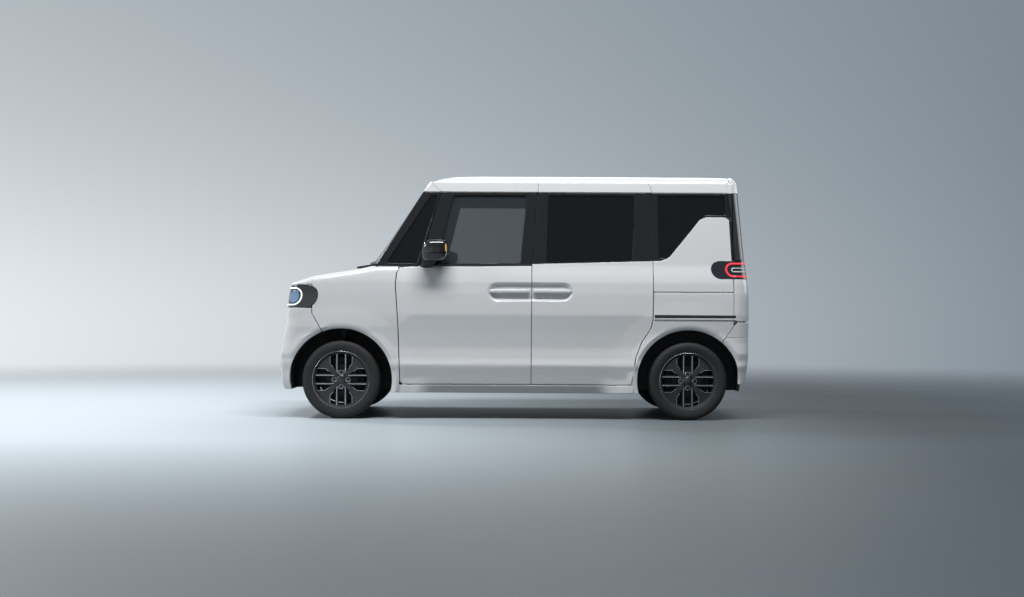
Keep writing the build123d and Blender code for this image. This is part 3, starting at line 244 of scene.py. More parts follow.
def hull(s, q, tail=False):
    """The body's outside. s runs round a level line from the middle of the nose or tail, over a crowned
    face, round a corner of fixed radius and along the side; q climbs the side and folds over the shoulder."""
    s, q = np.broadcast_arrays(np.asarray(s, float), np.asarray(q, float))
    corner, flat, end = end_face(q, tail)
    sign = -1.0 if tail else 1.0
    reach = np.abs(s)
    run = np.clip((reach - flat) / corner, 0.0, math.pi / 2)
    past = np.maximum(reach - flat - corner * math.pi / 2, 0.0)
    wide = side_y(end + sign * (corner + past), q)
    crown = (8.0 if tail else 16.0) * (np.minimum(reach, flat) / flat) ** 2 - (10.0 if tail else 0.0)
    x = end + sign * (crown * (1 - np.sin(run)) + corner * (1 - np.cos(run)) + past)
    inner = wide - corner
    y = np.where(reach < flat, reach / flat * inner, inner + corner * np.sin(run))
    return np.stack([x, np.sign(s) * y, q], -1)


def side_s(x, z, tail=False):
    """The s at which a point of the side outline lies."""
    x, z = np.asarray(x, float), np.asarray(z, float)
    corner, flat, end = end_face(z, tail)
    past = (end - x if tail else x - end) - corner
    turn = np.arccos(np.clip(-past / corner, 0, 1))
    return flat + np.where(past < 0, corner * turn, corner * math.pi / 2 + past)


def shoulder(x, q):
    """The side of the front fender: upright to the shoulder, round it, then inwards under the bonnet line."""
    top = bonnet_z(x) - CROWN
    start = top - SHOULDER_R
    turn = np.clip((q - start) / SHOULDER_R, 0, math.pi / 2)
    over = np.maximum(q - start - SHOULDER_R * math.pi / 2, 0)
    z = np.where(q < start, q, start + SHOULDER_R * np.sin(turn))
    y = side_y(x, np.minimum(z, FOLD_Z)) - np.maximum(upper_in(z) - upper_in(FOLD_Z), 0)
    y = y - SHOULDER_R * (1 - np.cos(turn)) - over
    # towards the nose the fender turns in with the corner of the bumper
    y = y - turned_in(nose_x(np.minimum(z, NOSE_TOP)) + NOSE_R - x, NOSE_R)
    return np.stack([x, y, z], -1)


def shoulder_end(x):
    """How far up, over the shoulder, the fender's skin meets the bonnet's side edge."""
    top = bonnet_z(x) - CROWN
    wide = side_y(x, FOLD_Z) - np.maximum(upper_in(top) - upper_in(FOLD_Z), 0)
    return top - SHOULDER_R + SHOULDER_R * math.pi / 2 + np.maximum(wide - SHOULDER_R - BONNET_Y, 0)


def side(x, z):
    """The side skin, with the tail's corner turned in."""
    return xyz(x, side_y(x, z) - turned_in(x - tail_x(z) + TAIL_R, TAIL_R), z)


def door_side(x, z):
    """The side skin with the pocket that the two handles share: a stadium-shaped dish."""
    skin = side(x, z)
    x0, x1, z0, z1 = HANDLE_POCKET
    r = (z1 - z0) / 2
    away = np.hypot(np.maximum(np.maximum(x0 + r - x, x - x1 + r), 0), z - (z0 + z1) / 2) - r
    skin[..., 1] -= POCKET_DEPTH * ease(-away / POCKET_WALL)
    return skin


def rounded(rows, closed=True, steps=7):
    """An outline with its corners rounded: each corner is an arc tangent to its two sides."""
    p = np.array([row[:2] for row in rows], float)
    out = []
    count = len(rows)
    for i, row in enumerate(rows):
        radius = row[2] if len(row) > 2 else 0
        if radius == 0 or (not closed and i in (0, count - 1)):
            out.append(p[i][None])
            continue
        a, b = p[i - 1] - p[i], p[(i + 1) % count] - p[i]
        la, lb = np.linalg.norm(a), np.linalg.norm(b)
        a, b = a / la, b / lb
        half = math.acos(np.clip(a @ b, -1, 1)) / 2
        reach = min(radius / math.tan(half), 0.49 * la, 0.49 * lb)
        radius = reach * math.tan(half)
        if math.pi / 2 - half < 0.01:
            out.append(p[i][None])
            continue
        mid = (a + b) / np.linalg.norm(a + b)
        centre = p[i] + mid * math.hypot(reach, radius)
        t = np.linspace(0, 1, steps)[:, None]
        spokes = (p[i] + a * reach - centre) * (1 - t) + (p[i] + b * reach - centre) * t
        out.append(centre + spokes / np.linalg.norm(spokes, axis=1, keepdims=True) * radius)
    return np.concatenate(out)


def along(points, share):
    """Points at given shares of a polyline's length."""
    points = np.asarray(points, float)
    d = np.concatenate([[0], np.cumsum(np.hypot(*np.diff(points, axis=0).T))])
    share = np.asarray(share) * d[-1]
    return np.stack([np.interp(share, d, points[:, 0]), np.interp(share, d, points[:, 1])], -1)


def borders(plan):
    """The four border lines of a grid."""
    return [plan[:, 0], plan[:, -1], plan[0], plan[-1]]


def from_lines(points, lines):
    """Distance of each point from the nearest of some polylines."""
    flat = points.reshape(-1, 2)
    best = np.full(len(flat), 1e9)
    for line in lines:
        a, b = line[:-1], line[1:]
        d = b - a
        t = np.clip(((flat[:, None] - a) * d).sum(-1) / np.maximum((d * d).sum(-1), 1e-9), 0, 1)
        best = np.minimum(best, np.linalg.norm(flat[:, None] - a - t[..., None] * d, axis=-1).min(1))
    return best.reshape(points.shape[:-1])


def stations(length, step, edge):
    """Shares from 0 to 1, close together at both ends so that an edge can roll over."""
    near = np.array([0, 0.2, 0.5, 1.0, 2.0]) * edge
    inner = np.linspace(near[-1], length - near[-1], max(int((length - 2 * near[-1]) / step), 1) + 1)
    return np.concatenate([near[:-1], inner, length - near[:-1][::-1]]) / length


def between(first, second, step=12.0, edge=EDGE_R, fine=None):
    """A grid of outline points on straight lines from one edge curve to the other."""
    length = np.linalg.norm(np.diff(first, axis=0), axis=1).sum()
    ninths = np.linspace(0, 1, 9)
    across = np.median(np.linalg.norm(along(first, ninths) - along(second, ninths), axis=1))
    t, w = stations(length, step, edge), stations(across, step, edge)
    if fine is not None:
        t = np.unique(np.concatenate([t, fine]))
    a, b = along(first, t), along(second, t)
    return a[:, None] * (1 - w[None, :, None]) + b[:, None] * w[None, :, None]


def strip(x0, z0, x1, z1, step=12.0, edge=EDGE_R, lean=0.0):
    """A grid over an upright rectangle; lean moves both upper corners outwards."""
    return between(np.array([[x0, z0], [x0 - lean, z1]]), np.array([[x1, z0], [x1 + lean, z1]]), step, edge)


def ring(centre, inner, outer, step=14.0, edge=EDGE_R, extra=96):
    """A grid of outline points between two outlines, on rays from a centre that sees both."""
    centre = np.array(centre, float)

    def hit(line, angle):
        p, d = line - centre, np.roll(line, -1, 0) - line
        ray = np.stack([np.cos(angle), np.sin(angle)], -1)
        den = ray[:, None, 0] * d[None, :, 1] - ray[:, None, 1] * d[None, :, 0]
        den = np.where(np.abs(den) < 1e-9, 1e-9, den)
        r = (p[None, :, 0] * d[None, :, 1] - p[None, :, 1] * d[None, :, 0]) / den
        u = (p[None, :, 0] * ray[:, None, 1] - p[None, :, 1] * ray[:, None, 0]) / den
        good = (u > -1e-6) & (u < 1 + 1e-6) & (r > 0)
        return np.where(good, r, np.inf).min(1)

    known = np.concatenate([np.arctan2(*(line - centre).T[::-1]) for line in (inner, outer)])
    angle = np.sort(np.concatenate([known, np.linspace(-math.pi, math.pi, extra)]))
    apart = 0.004
    angle = angle[np.concatenate([[True], np.diff(angle) > apart])]
    angle = angle[:-1] if angle[-1] - angle[0] > 2 * math.pi - apart else angle
    r_in, r_out = hit(inner, angle), hit(outer, angle)
    w = stations(float(np.median(r_out - r_in)), step, edge)
    r = r_in[:, None] * (1 - w) + r_out[:, None] * w
    return centre + r[..., None] * np.stack([np.cos(angle), np.sin(angle)], -1)[:, None]


def fan(axle_x, first, last, outer, step=13.0, edge=EDGE_R):
    """A grid of outline points from a wheel arch out to an open outline: each outline point is tied to
    the arch at its own angle about the axle, with the two end angles given in degrees."""
    length = np.linalg.norm(np.diff(outer, axis=0), axis=1).sum()
    b = along(outer, stations(length, step, edge))
    angle = np.unwrap(np.arctan2(b[:, 1] - AXLE_Z, b[:, 0] - axle_x))
    share = (angle - angle[0]) / (angle[-1] - angle[0])
    angle = math.radians(first) + share * math.radians(last - first)
    a = np.stack([axle_x + ARCH_R * np.cos(angle), AXLE_Z + ARCH_R * np.sin(angle)], -1)
    w = stations(float(np.median(np.linalg.norm(b - a, axis=1))), step, edge)[None, :, None]
    return a[:, None] * (1 - w) + b[:, None] * w


def outward_normals(grid, closed):
    """Unit normals of a grid surface: the cross product of its two directions."""
    if closed:
        du = np.gradient(np.concatenate([grid[-1:], grid, grid[:1]]), axis=0)[1:-1]
    else:
        du = np.gradient(grid, axis=0)
    n = np.cross(du, np.gradient(grid, axis=1))
    return n / np.maximum(np.linalg.norm(n, axis=-1, keepdims=True), 1e-12)


def quads(grid, wrap_u=False, wrap_v=False):
    """A grid's point numbers, carried round where it closes, and its four-sided faces."""
    index = np.arange(grid.shape[0] * grid.shape[1]).reshape(grid.shape[:2])
    if wrap_v:
        index = np.concatenate([index, index[:, :1]], 1)
    if wrap_u:
        index = np.concatenate([index, index[:1]])
    faces = np.stack([index[:-1, :-1], index[1:, :-1], index[1:, 1:], index[:-1, 1:]], -1)
    return index, faces.reshape(-1, 4)


def shell_mesh(name, grid, depth, wall, closed=False, ref=BODY_MIDDLE):
    """A closed sheet: the grid sunk along its normals by the edge roll, the same grid a wall deeper, and
    the strips between their borders. The normals point away from ref."""
    n = outward_normals(grid, closed)
    if ((grid - np.array(ref)) * n).sum(-1).mean() < 0:
        n = -n
    verts = np.concatenate([(grid - n * depth[..., None]).reshape(-1, 3), (grid - n * wall).reshape(-1, 3)])
    index, faces = quads(grid, closed)
    below = grid.shape[0] * grid.shape[1]

    def wall_faces(line):
        return np.stack([line[:-1], line[1:], line[1:] + below, line[:-1] + below], -1)

    faces = [faces, faces[:, ::-1] + below, wall_faces(index[:, 0])[:, ::-1], wall_faces(index[:, -1])]
    if not closed:
        faces += [wall_faces(index[0]), wall_faces(index[-1])[:, ::-1]]
    return solid(name, verts, np.concatenate(faces))


def linked(name, data):
    """A scene object for a mesh, a lamp or a camera."""
    piece = bpy.data.objects.new(name, data)
    bpy.context.scene.collection.objects.link(piece)
    return piece


def coordinates(mesh):
    """A mesh's vertices as rows of x, y, z."""
    co = np.empty(len(mesh.vertices) * 3)
    mesh.vertices.foreach_get("co", co)
    return co.reshape(-1, 3)


def place_vertices(mesh, co):
    """Writes rows of x, y, z back to a mesh."""
    mesh.vertices.foreach_set("co", np.asarray(co, np.float32).ravel())


def solid(name, verts, faces, sharp=35.0):
    """A mesh object from arrays in mm: doubles merged, faces turned outwards, smooth up to an angle."""
    mesh = bpy.data.meshes.new(name)
    faces = np.asarray(faces, np.int32)
    mesh.vertices.add(len(verts))
    place_vertices(mesh, verts * MM)
    mesh.loops.add(faces.size)
    mesh.loops.foreach_set("vertex_index", faces.ravel())
    mesh.polygons.add(len(faces))
    mesh.polygons.foreach_set("loop_start", np.arange(0, faces.size, faces.shape[1], dtype=np.int32))
    mesh.update(calc_edges=True)
    mesh.validate()
    work = bmesh.new()
    work.from_mesh(mesh)
    bmesh.ops.remove_doubles(work, verts=work.verts, dist=MERGE)
    bmesh.ops.dissolve_degenerate(work, edges=work.edges, dist=SLIVER)
    bmesh.ops.recalc_face_normals(work, faces=work.faces)
    work.to_mesh(mesh)
    work.free()
    mesh.shade_smooth()
    mesh.set_sharp_from_angle(angle=math.radians(sharp))
    return linked(name, mesh)


def join(name, parts):
    """Several meshes as one piece."""
    target = bpy.data.meshes.new(name)
    work = bmesh.new()
    for part in parts:
        work.from_mesh(part.data)
    work.to_mesh(target)
    work.free()
    for part in parts:
        bpy.data.objects.remove(part)
    return linked(name, target)


def mirrored(piece, name):
    """The right-hand twin of a left-hand piece: y changes sign and every face is turned over."""
    mesh = piece.data.copy()
    place_vertices(mesh, coordinates(mesh) * [1, -1, 1])
    mesh.flip_normals()
    return linked(name, mesh)


def sheet(name, plan, surface, wall=12.0, edge=EDGE_R, closed=False, lift=0.0):
    """One body skin: an outline grid carried onto a surface, its border rolled over a small radius."""
    lines = [np.concatenate([line, line[:1]]) for line in borders(plan)[:2]] if closed else borders(plan)
    spot = surface(plan[..., 0], plan[..., 1])
    if surface not in (hull_front, hull_tail):
        spot[..., 1] = -np.abs(spot[..., 1])
    return shell_mesh(name, spot, edge_roll(from_lines(plan, lines), edge) - lift, wall, closed)


def hull_front(s, q):
    """The hull from the nose."""
    return hull(s, q)


def hull_tail(s, q):
    """The hull from the tail."""
    return hull(s, q, True)


def loft(name, profile, path, across, up, closed_path=False):
    """A closed profile carried along a path: each ring is the path point plus the profile's two
    coordinates along the across and up directions, which may change from ring to ring."""
    across, up = (np.broadcast_to(np.asarray(a, float), path.shape) for a in (across, up))
    profile = np.broadcast_to(profile, (len(path), *profile.shape[-2:]))
    verts = path[:, None] + profile[..., :1] * across[:, None] + profile[..., 1:] * up[:, None]
    index, faces = quads(verts, closed_path, True)
    first, last = index[0], index[-1]
    ends = ((first[:-1], first[1:], verts[0]), (last[1:], last[:-1], verts[-1]))
    verts = verts.reshape(-1, 3)
    for a, b, rim in () if closed_path else ends:
        tip = np.full(len(a), len(verts))
        faces = np.concatenate([faces, np.stack([a, b, tip, tip], -1)])
        verts = np.concatenate([verts, rim.mean(0)[None]])
    return solid(name, verts, faces)


def circle(radius, count=16, squash=1.0, power=1.0):
    """A round or rounded-square profile: cosine and sine raised to a power."""
    a = np.linspace(0, 2 * math.pi, count, endpoint=False)
    c, s = np.cos(a), np.sin(a)
    return xyz(np.sign(c) * np.abs(c) ** power, np.sign(s) * np.abs(s) ** power * squash) * radius


def scaled(profile, wide, high):
    """A profile repeated at every ring of a loft, its two coordinates scaled from ring to ring."""
    return profile[None] * xyz(wide, high)[:, None]


def lathe(name, profile, centre, axis_sign, count, ripple=None):
    """A closed profile of (radius, outward y) turned about an axle line."""
    profile = np.asarray(profile, float)
    a = np.linspace(0, 2 * math.pi, count, endpoint=False)[:, None]
    r, y = profile[None, :, 0] + 0 * a, profile[None, :, 1] + 0 * a
    if ripple is not None:
        r = r + ripple(a, r, y)
    grid = centre + xyz(r * np.cos(a), axis_sign * y, r * np.sin(a))
    return solid(name, grid.reshape(-1, 3), quads(grid, True, True)[1], 30.0)


# ================= finishes =================
def feed(tree, socket, value):
    """Links a node's output to a socket, or sets the socket to a number or a colour."""
    if isinstance(value, bpy.types.NodeSocket):
        tree.links.new(value, socket)
    else:
        socket.default_value = (*value, 1) if isinstance(value, tuple) else value


def calc(tree, operation, *values):
    """A maths node on sockets and numbers."""
    node = tree.nodes.new("ShaderNodeMath")
    node.operation = operation
    for socket, value in zip(node.inputs, values):
        feed(tree, socket, value)
    return node.outputs[0]


def mix(tree, share, first, second):
    """A mix of two colours: all of the first at share 0, all of the second at 1."""
    node = tree.nodes.new("ShaderNodeMix")
    node.data_type = "RGBA"
    for number, value in ((0, share), (6, first), (7, second)):
        feed(tree, node.inputs[number], value)
    return node.outputs[2]


def split(tree, place, kind):
    """The x, y and z of a kind of texture coordinates."""
    axes = tree.nodes.new("ShaderNodeSeparateXYZ")
    feed(tree, axes.inputs[0], place.outputs[kind])
    return axes.outputs


def map_range(tree, value, span, to=(0.0, 1.0), kind="LINEAR"):
    """Carries a value from one span over to another."""
    node = tree.nodes.new("ShaderNodeMapRange")
    node.interpolation_type = kind
    for key, setting in zip(("Value", "From Min", "From Max", "To Min", "To Max"), (value, *span, *to)):
        feed(tree, node.inputs[key], setting)
    return node.outputs["Result"]


def noise(tree, place, scale, detail=2.0):
    """Noise on Object coordinates."""
    node = tree.nodes.new("ShaderNodeTexNoise")
    feed(tree, node.inputs["Scale"], scale)
    feed(tree, node.inputs["Detail"], detail)
    feed(tree, node.inputs["Vector"], place.outputs["Object"])
    return node.outputs["Fac"]


def finish(name, base, spread, scale, rough, dark=None, bump=0.0, bump_scale=200.0, zones=None, **sockets):
    """One procedural finish on Object coordinates: noise carries the base colour from one shade to the
    next, shifts the roughness and raises a fine grain."""
    name = f"{name}_finish"
    material = bpy.data.materials.get(name)
    if material:
        return material
    material = bpy.data.materials.new(name)
    material.use_nodes = True
    tree = material.node_tree
    shader, place = tree.nodes["Principled BSDF"], tree.nodes.new("ShaderNodeTexCoord")
    grade = noise(tree, place, scale, 3.0)
    colour = mix(tree, grade, base, dark or tuple(c * (1 - spread) for c in base))
    feed(tree, shader.inputs["Base Color"], zones(tree, place, colour) if zones else colour)
    feed(tree, shader.inputs["Roughness"], map_range(tree, grade, (0.0, 1.0), rough))
    if bump:
        raised = tree.nodes.new("ShaderNodeBump")
        grain = noise(tree, place, bump_scale)
        for key, value in (("Strength", bump), ("Distance", GRAIN_HEIGHT), ("Height", grain)):
            feed(tree, raised.inputs[key], value)
        feed(tree, shader.inputs["Normal"], raised.outputs["Normal"])
    for key, value in sockets.items():
        feed(tree, shader.inputs[key.replace("_", " ")], value)
    return material


def height_zones(inside, band, lower, upper, reach):
    """Colours by place: one inside the body, another in a band of heights on the outside."""
    def build(tree, place, colour):
        _, y, z = split(tree, place, "Object")
        over, under = calc(tree, "GREATER_THAN", z, lower), calc(tree, "LESS_THAN", z, upper)
        # above the beltline the sides lean inwards
        lean = calc(tree, "MULTIPLY", calc(tree, "MAXIMUM", calc(tree, "SUBTRACT", z, 1.0), 0.0), 0.14)
        within = calc(tree, "LESS_THAN", calc(tree, "ADD", calc(tree, "ABSOLUTE", y), lean), reach)
        banded = mix(tree, calc(tree, "MULTIPLY", over, under), colour, band)
        return mix(tree, within, banded, inside)
    return build


BLACK, TRIM = (0.0045, 0.0042, 0.0042), (0.022, 0.022, 0.024)
COAT = dict(Coat_Weight=1.0, Coat_Roughness=0.02, Coat_IOR=1.6)
PAINTED = dict(zones=height_zones(TRIM, BLACK, 1.099, 1.6405, 0.688), **COAT)
# look: (finish, record's slot, colour, spread, noise scale, roughness, the rest); None is the body colour
LOOKS = {
    "pearl": ("pearl_white", "body_white", None, 0.03, 900.0, (0.26, 0.34), COAT),
    "frame": ("painted_frame", "", None, 0.03, 900.0, (0.28, 0.36), PAINTED),
    "gloss": ("gloss_black", "gloss_black", BLACK, 0.3, 60.0, (0.05, 0.09),
              dict(Coat_Weight=0.6, Coat_Roughness=0.02)),
    "trim": ("grained_black", "black_trim", TRIM, 0.35, 90.0, (0.5, 0.62), dict(bump=0.4, bump_scale=1600.0)),
    "glass": ("front_glass", "", (0.045, 0.058, 0.070), 0.06, 2.0, (0.01, 0.02),
              dict(Alpha=0.42, Specular_IOR_Level=0.45)),
    "privacy": ("privacy_glass", "", (0.003, 0.004, 0.005), 0.2, 2.0, (0.01, 0.02),
                dict(Alpha=0.97, Specular_IOR_Level=0.4)),
    "underseal": ("underseal", "underbody", (0.022, 0.022, 0.023), 0.4, 30.0, (0.6, 0.8),
                  dict(bump=0.6, bump_scale=500.0)),
    "steel": ("machined_steel", "steel", (0.42, 0.42, 0.43), 0.15, 60.0, (0.25, 0.4), dict(Metallic=1.0)),
    "iron": ("cast_iron", "cast_iron", (0.06, 0.06, 0.063), 0.3, 120.0, (0.55, 0.75),
             dict(bump=0.5, bump_scale=700.0, Metallic=0.8)),
    "alloy": ("wheel_grey", "alloy", (0.030, 0.031, 0.034), 0.2, 500.0, (0.30, 0.38),
              dict(Metallic=0.5, Coat_Weight=0.7, Coat_Roughness=0.06)),
    "cut": ("machined_face", "alloy", (0.62, 0.63, 0.65), 0.1, 700.0, (0.16, 0.24), dict(Metallic=1.0)),
    "rubber": ("tyre_rubber", "tyre", (0.009, 0.009, 0.010), 0.3, 60.0, (0.62, 0.78),
               dict(bump=0.3, bump_scale=900.0)),
    "fabric": ("seat_weave", "seat_fabric", (0.060, 0.060, 0.064), 0.0, 1400.0, (0.85, 0.95),
               dict(dark=(0.035, 0.035, 0.038), bump=0.9, bump_scale=1500.0, Sheen_Weight=0.35,
                    Sheen_Roughness=0.5)),
    "dash": ("dash_grain", "", (0.045, 0.045, 0.048), 0.3, 110.0, (0.5, 0.6),
             dict(bump=0.5, bump_scale=1400.0)),
    "lamp_dark": ("lamp_housing", "lamp", (0.012, 0.013, 0.016), 0.4, 160.0, (0.06, 0.12),
                  dict(Coat_Weight=1.0, Coat_Roughness=0.01)),
    "lamp_glow": ("lamp_guide", "lamp", (0.80, 0.88, 0.95), 0.05, 40.0, (0.15, 0.2),
                  dict(Emission_Color=(0.75, 0.88, 1.0), Emission_Strength=0.9)),
    "lamp_blue": ("lamp_reflector", "lamp", (0.10, 0.22, 0.42), 0.0, 55.0, (0.08, 0.16),
                  dict(dark=(0.30, 0.42, 0.60), Metallic=0.8, Coat_Weight=1.0)),
    "tail_glow": ("tail_guide", "tail_lamp", (0.75, 0.03, 0.05), 0.2, 60.0, (0.12, 0.2),
                  dict(Emission_Color=(1.0, 0.05, 0.08), Emission_Strength=0.75)),
    "amber": ("amber_lens", "lamp", (0.85, 0.42, 0.02), 0.2, 60.0, (0.1, 0.2),
              dict(Emission_Color=(1.0, 0.45, 0.02), Emission_Strength=0.35)),
    "plate": ("blank_plate", "body_white", (0.72, 0.73, 0.72), 0.04, 30.0, (0.35, 0.45), {}),
}


def finish_for(look):
    """The finish of a look, made the first time it is asked for."""
    name, _, base, spread, scale, rough, rest = LOOKS[look]
    base = base or tuple(bpy.context.scene.wagon_finish.body_colour)
    return finish(name, base, spread, scale, rough, **rest)


def repaint(piece, look):
    """Gives a piece one finish and no other."""
    piece.data.materials.clear()
    piece.data.materials.append(finish_for(look))


def dress(piece, look, body="root", stands_for=(), slot=None):
    """Gives a piece its finish and the body it rides on, and hides the nodes it stands for; the record slot
    is looked up but not given to it.
    """
    repaint(piece, look)
    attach(piece, body)
    slot = slot or LOOKS[look][1]
    if stands_for:
        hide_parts(*stands_for)


def both(piece, look, bodies=ROOT, stands_for=((), ())):
    """Dresses a left-hand piece and its right-hand twin."""
    twin = mirrored(piece, piece.name.replace("_left", "_right"))
    dress(piece, look, bodies[0], stands_for[0])
    dress(twin, look, bodies[1], stands_for[1])


# ================= what a user would change =================
class WagonFinish(bpy.types.PropertyGroup):
    """Colours of the body."""
    body_colour: FloatVectorProperty(
        name="Body colour", description="Pearl white of the painted panels", subtype="COLOR",
        min=0, max=1, default=(0.70, 0.715, 0.73))


class WagonStudio(bpy.types.PropertyGroup):
    """Camera and light of the studio."""
    camera_distance: FloatProperty(
        name="Camera distance", description="From the car's middle line", unit="LENGTH", default=10.92)
    camera_height: FloatProperty(
        name="Camera height", description="Above the floor", unit="LENGTH", default=0.74)
    camera_lens: FloatProperty(
        name="Lens", description="Focal length on a 36 mm sensor", unit="CAMERA", default=49.9)
    camera_roll: FloatProperty(
        name="Roll", description="Turn about the line of sight", subtype="ANGLE", default=math.radians(-0.3))
    floor_colour: FloatVectorProperty(
        name="Floor colour", description="Pale studio floor", subtype="COLOR",
        min=0, max=1, default=(0.57, 0.64, 0.69))
    # painted shade: the floor's colour towards the camera and the tail, where less light falls
    painted_shade_colour: FloatVectorProperty(
        name="Near floor colour", description="Floor towards the camera and the tail", subtype="COLOR",
        min=0, max=1, default=(0.014, 0.020, 0.025))
    bounce_colour: FloatVectorProperty(
        name="Bounce colour", subtype="COLOR",
        description="Floor as the car's underside and flanks are lit by it",
        min=0, max=1, default=(0.12, 0.14, 0.155))


class WagonTyres(bpy.types.PropertyGroup):
    """Tyre tread."""
    blocks: IntProperty(
        name="Tread blocks", description="Cross grooves round one tyre", default=72, min=24, max=120)
    groove: FloatProperty(
        name="Groove depth", description="Depth of the tread grooves", unit="LENGTH", default=0.006)


# ================= body =================
class WAGON_OT_front_fenders(bpy.types.Operator):
    """Front fenders with flared arches and a folded shoulder, and the strips over the lamps"""
    bl_idname = "wagon.front_fenders"
    bl_label = "Front fenders"

    def execute(self, context):
        x = np.linspace(F + 262, FENDER_FRONT, 40)
        top = shoulder_end(x)
        down = xyz(FENDER_FRONT, np.linspace(top[-1], LAMP_LOW, 13)[1:])
        plan = fan(F, -13.7, 110.7, np.concatenate([rounded(FENDER_EDGE, False), xyz(x, top), down]))
        both(sheet("fender_left", plan, shoulder, 8.0), "pearl", stands_for=(("front_fenders",), ()))
        # the strip over the lamp: from the hull's upright face, rounded over to the bonnet's side edge
        t = np.linspace(0, 1, 22)[None]
        turn = np.linspace(math.radians(35), math.pi / 2, 26)
        x = float(nose_x(STRIP_Z)) + NOSE_R * (1 - np.cos(turn))
        x = np.concatenate([x, np.linspace(x[-1] + 8, FENDER_FRONT, 8)])[:, None]
        fender = shoulder(x + 0 * t, STRIP_Z + (shoulder_end(x) - STRIP_Z) * t)
        foot_y = -hull(-side_s(x, STRIP_Z), STRIP_Z)[..., 1]
        bend = t * math.pi / 2
        y = BONNET_Y + (foot_y - BONNET_Y) * np.cos(bend) ** 0.8
        nose = xyz(x, y, STRIP_Z + (bonnet_z(x) - CROWN - STRIP_Z) * np.sin(bend) ** 0.8)
        share = ease((FENDER_FRONT - x) / 70)[..., None]
        grid = (fender * (1 - share) + nose * share) * [1, -1, 1]
        away = np.minimum(*(np.linalg.norm(grid - grid[:, end], axis=-1) for end in ([0], [-1])))
        both(shell_mesh("lamp_strip_left", grid, edge_roll(away), 10.0), "pearl")
        return {"FINISHED"}


class WAGON_OT_front_doors(bpy.types.Operator):
    """Front door skins with the handle pocket, black window frames and body-coloured handles"""
    bl_idname = "wagon.front_doors"
    bl_label = "Front doors"

    def execute(self, context):
        front = rounded(FRONT_DOOR_EDGE, False)
        plan = between(front, door_meet(1 - GAP / 2), 13.0, fine=pocket_rows(front))
        both(sheet("door_skin_front_left", plan, door_side), "pearl", FRONT_DOORS)
        window_frame("door_frame_front_left", (F + 1040, 1370), FRONT_PANE, FRONT_FRAME, 14.0, FRONT_DOORS)
        both(handle("door_handle_front_left", F + 1064, F + 1358), "pearl", FRONT_DOORS)
        return {"FINISHED"}


class WAGON_OT_sliding_doors(bpy.types.Operator):
    """Rear sliding door skins, frames and handles"""
    bl_idname = "wagon.sliding_doors"
    bl_label = "Sliding doors"

    def execute(self, context):
        meet = np.concatenate([door_meet(GAP / 2), [[F + 1372.0, float(belt_z(F + 1372.0)) - 2]]])
        plan = between(meet, rounded(SLIDING_DOOR_EDGE, False), 13.0, fine=pocket_rows(meet))
        both(sheet("door_skin_sliding_left", plan, door_side), "pearl")
        window_frame("door_frame_sliding_left", (F + 1800, 1370), SLIDING_PANE, SLIDING_FRAME, 14.0)
        both(handle("door_handle_sliding_left", F + 1377, F + 1654), "pearl")
        return {"FINISHED"}


def door_meet(shift):
    """The line on which the two doors meet, up to the beltline, moved by a shift."""
    line = along(DOOR_MEET[:2], np.linspace(0, 1, 40)) + [shift, 0]
    return line[line[:, 1] < belt_z(DOOR_MEET[0][0]) - 2]


def pocket_rows(line):
    """Extra grid rows where the side bends most, as shares of an edge's length: the handle pocket's two
    borders, the door's lower crease and the crease over it."""
    length = np.concatenate([[0], np.cumsum(np.hypot(*np.diff(line, axis=0).T))])
    low, high = HANDLE_POCKET[2:]
    rows = ((low - 2, low + 20, 9), (high - 20, high + 2, 9), (384, 408, 9), (736, 760, 5))
    z = np.concatenate([np.linspace(*row) for row in rows])
    return np.interp(z, line[:, 1], length) / length[-1]


def window_frame(name, centre, pane, frame_line, step=12.0, bodies=ROOT):
    """A black frame between a pane's outline and its own, on both sides of the car."""
    plan = ring(centre, rounded(pane), rounded(frame_line), step, 2.0)
    both(sheet(name, plan, side, 10.0, 2.0, True), "gloss", bodies)


def handle(name, x0, x1):
    """A grip bar: a rounded profile along the door, thinned out at its two ends."""
    t = np.linspace(0, 1, 26)
    x = x0 + (x1 - x0) * t
    size = np.sqrt(np.clip(np.minimum(t, 1 - t) * (x1 - x0) / 9.0, 0.02, 1))
    path = xyz(x, 3.0 - side(x, HANDLE_Z)[:, 1], HANDLE_Z)
    return loft(name, scaled(circle(1.0, 20, 1.0, 0.7), 9.0 * size, 14.0 * size), path, ACROSS, UP)


class WAGON_OT_side_frames(bpy.types.Operator):
    """Sills, rear quarters, windscreen pillars, quarter window frames and roof rails"""
    bl_idname = "wagon.side_frames"
    bl_label = "Side frames"

    def execute(self, context):
        x = np.linspace(F + 422, R - 398, 60)
        both(sheet("sill_left", between(xyz(x, 192), xyz(x, 246.5), 9.0, 2.0), side), "pearl")
        plan = fan(R, 193.7, 49.4, rounded(QUARTER_EDGE, False))
        both(sheet("quarter_lower_left", plan, side), "pearl")
        kick = rounded([(x, z, 40) for x, z in KICK_UP], False)
        base = xyz(np.linspace(R - 250, PANEL_END, 60), 923.0)
        both(sheet("quarter_upper_left", between(base, kick, 13.0), side), "pearl")
        window_frame("quarter_frame_left", (R, 1550), QUARTER_PANE, QUARTER_FRAME)
        front, rear = np.array([[R + 301.0, 1438], [R + 312, 1155]]), xyz(PANEL_END, [1438, 1155])
        both(sheet("quarter_strip_left", between(front, rear, 8.0, 1.5), side, 10.0, 1.5), "gloss")
        window_frame("pillar_frame_left", (F + 560, 1380), SAIL_PANE, SAIL_FRAME)
        low = xyz(np.linspace(F + 582, CAP_X, 80), RAIL_Z + 2.5)
        high = xyz(np.linspace(F + 645, CAP_X - 3, 80), DRIP_Z - 2.5)
        both(sheet("roof_rail_left", between(low, high), side), "pearl")
        return {"FINISHED"}


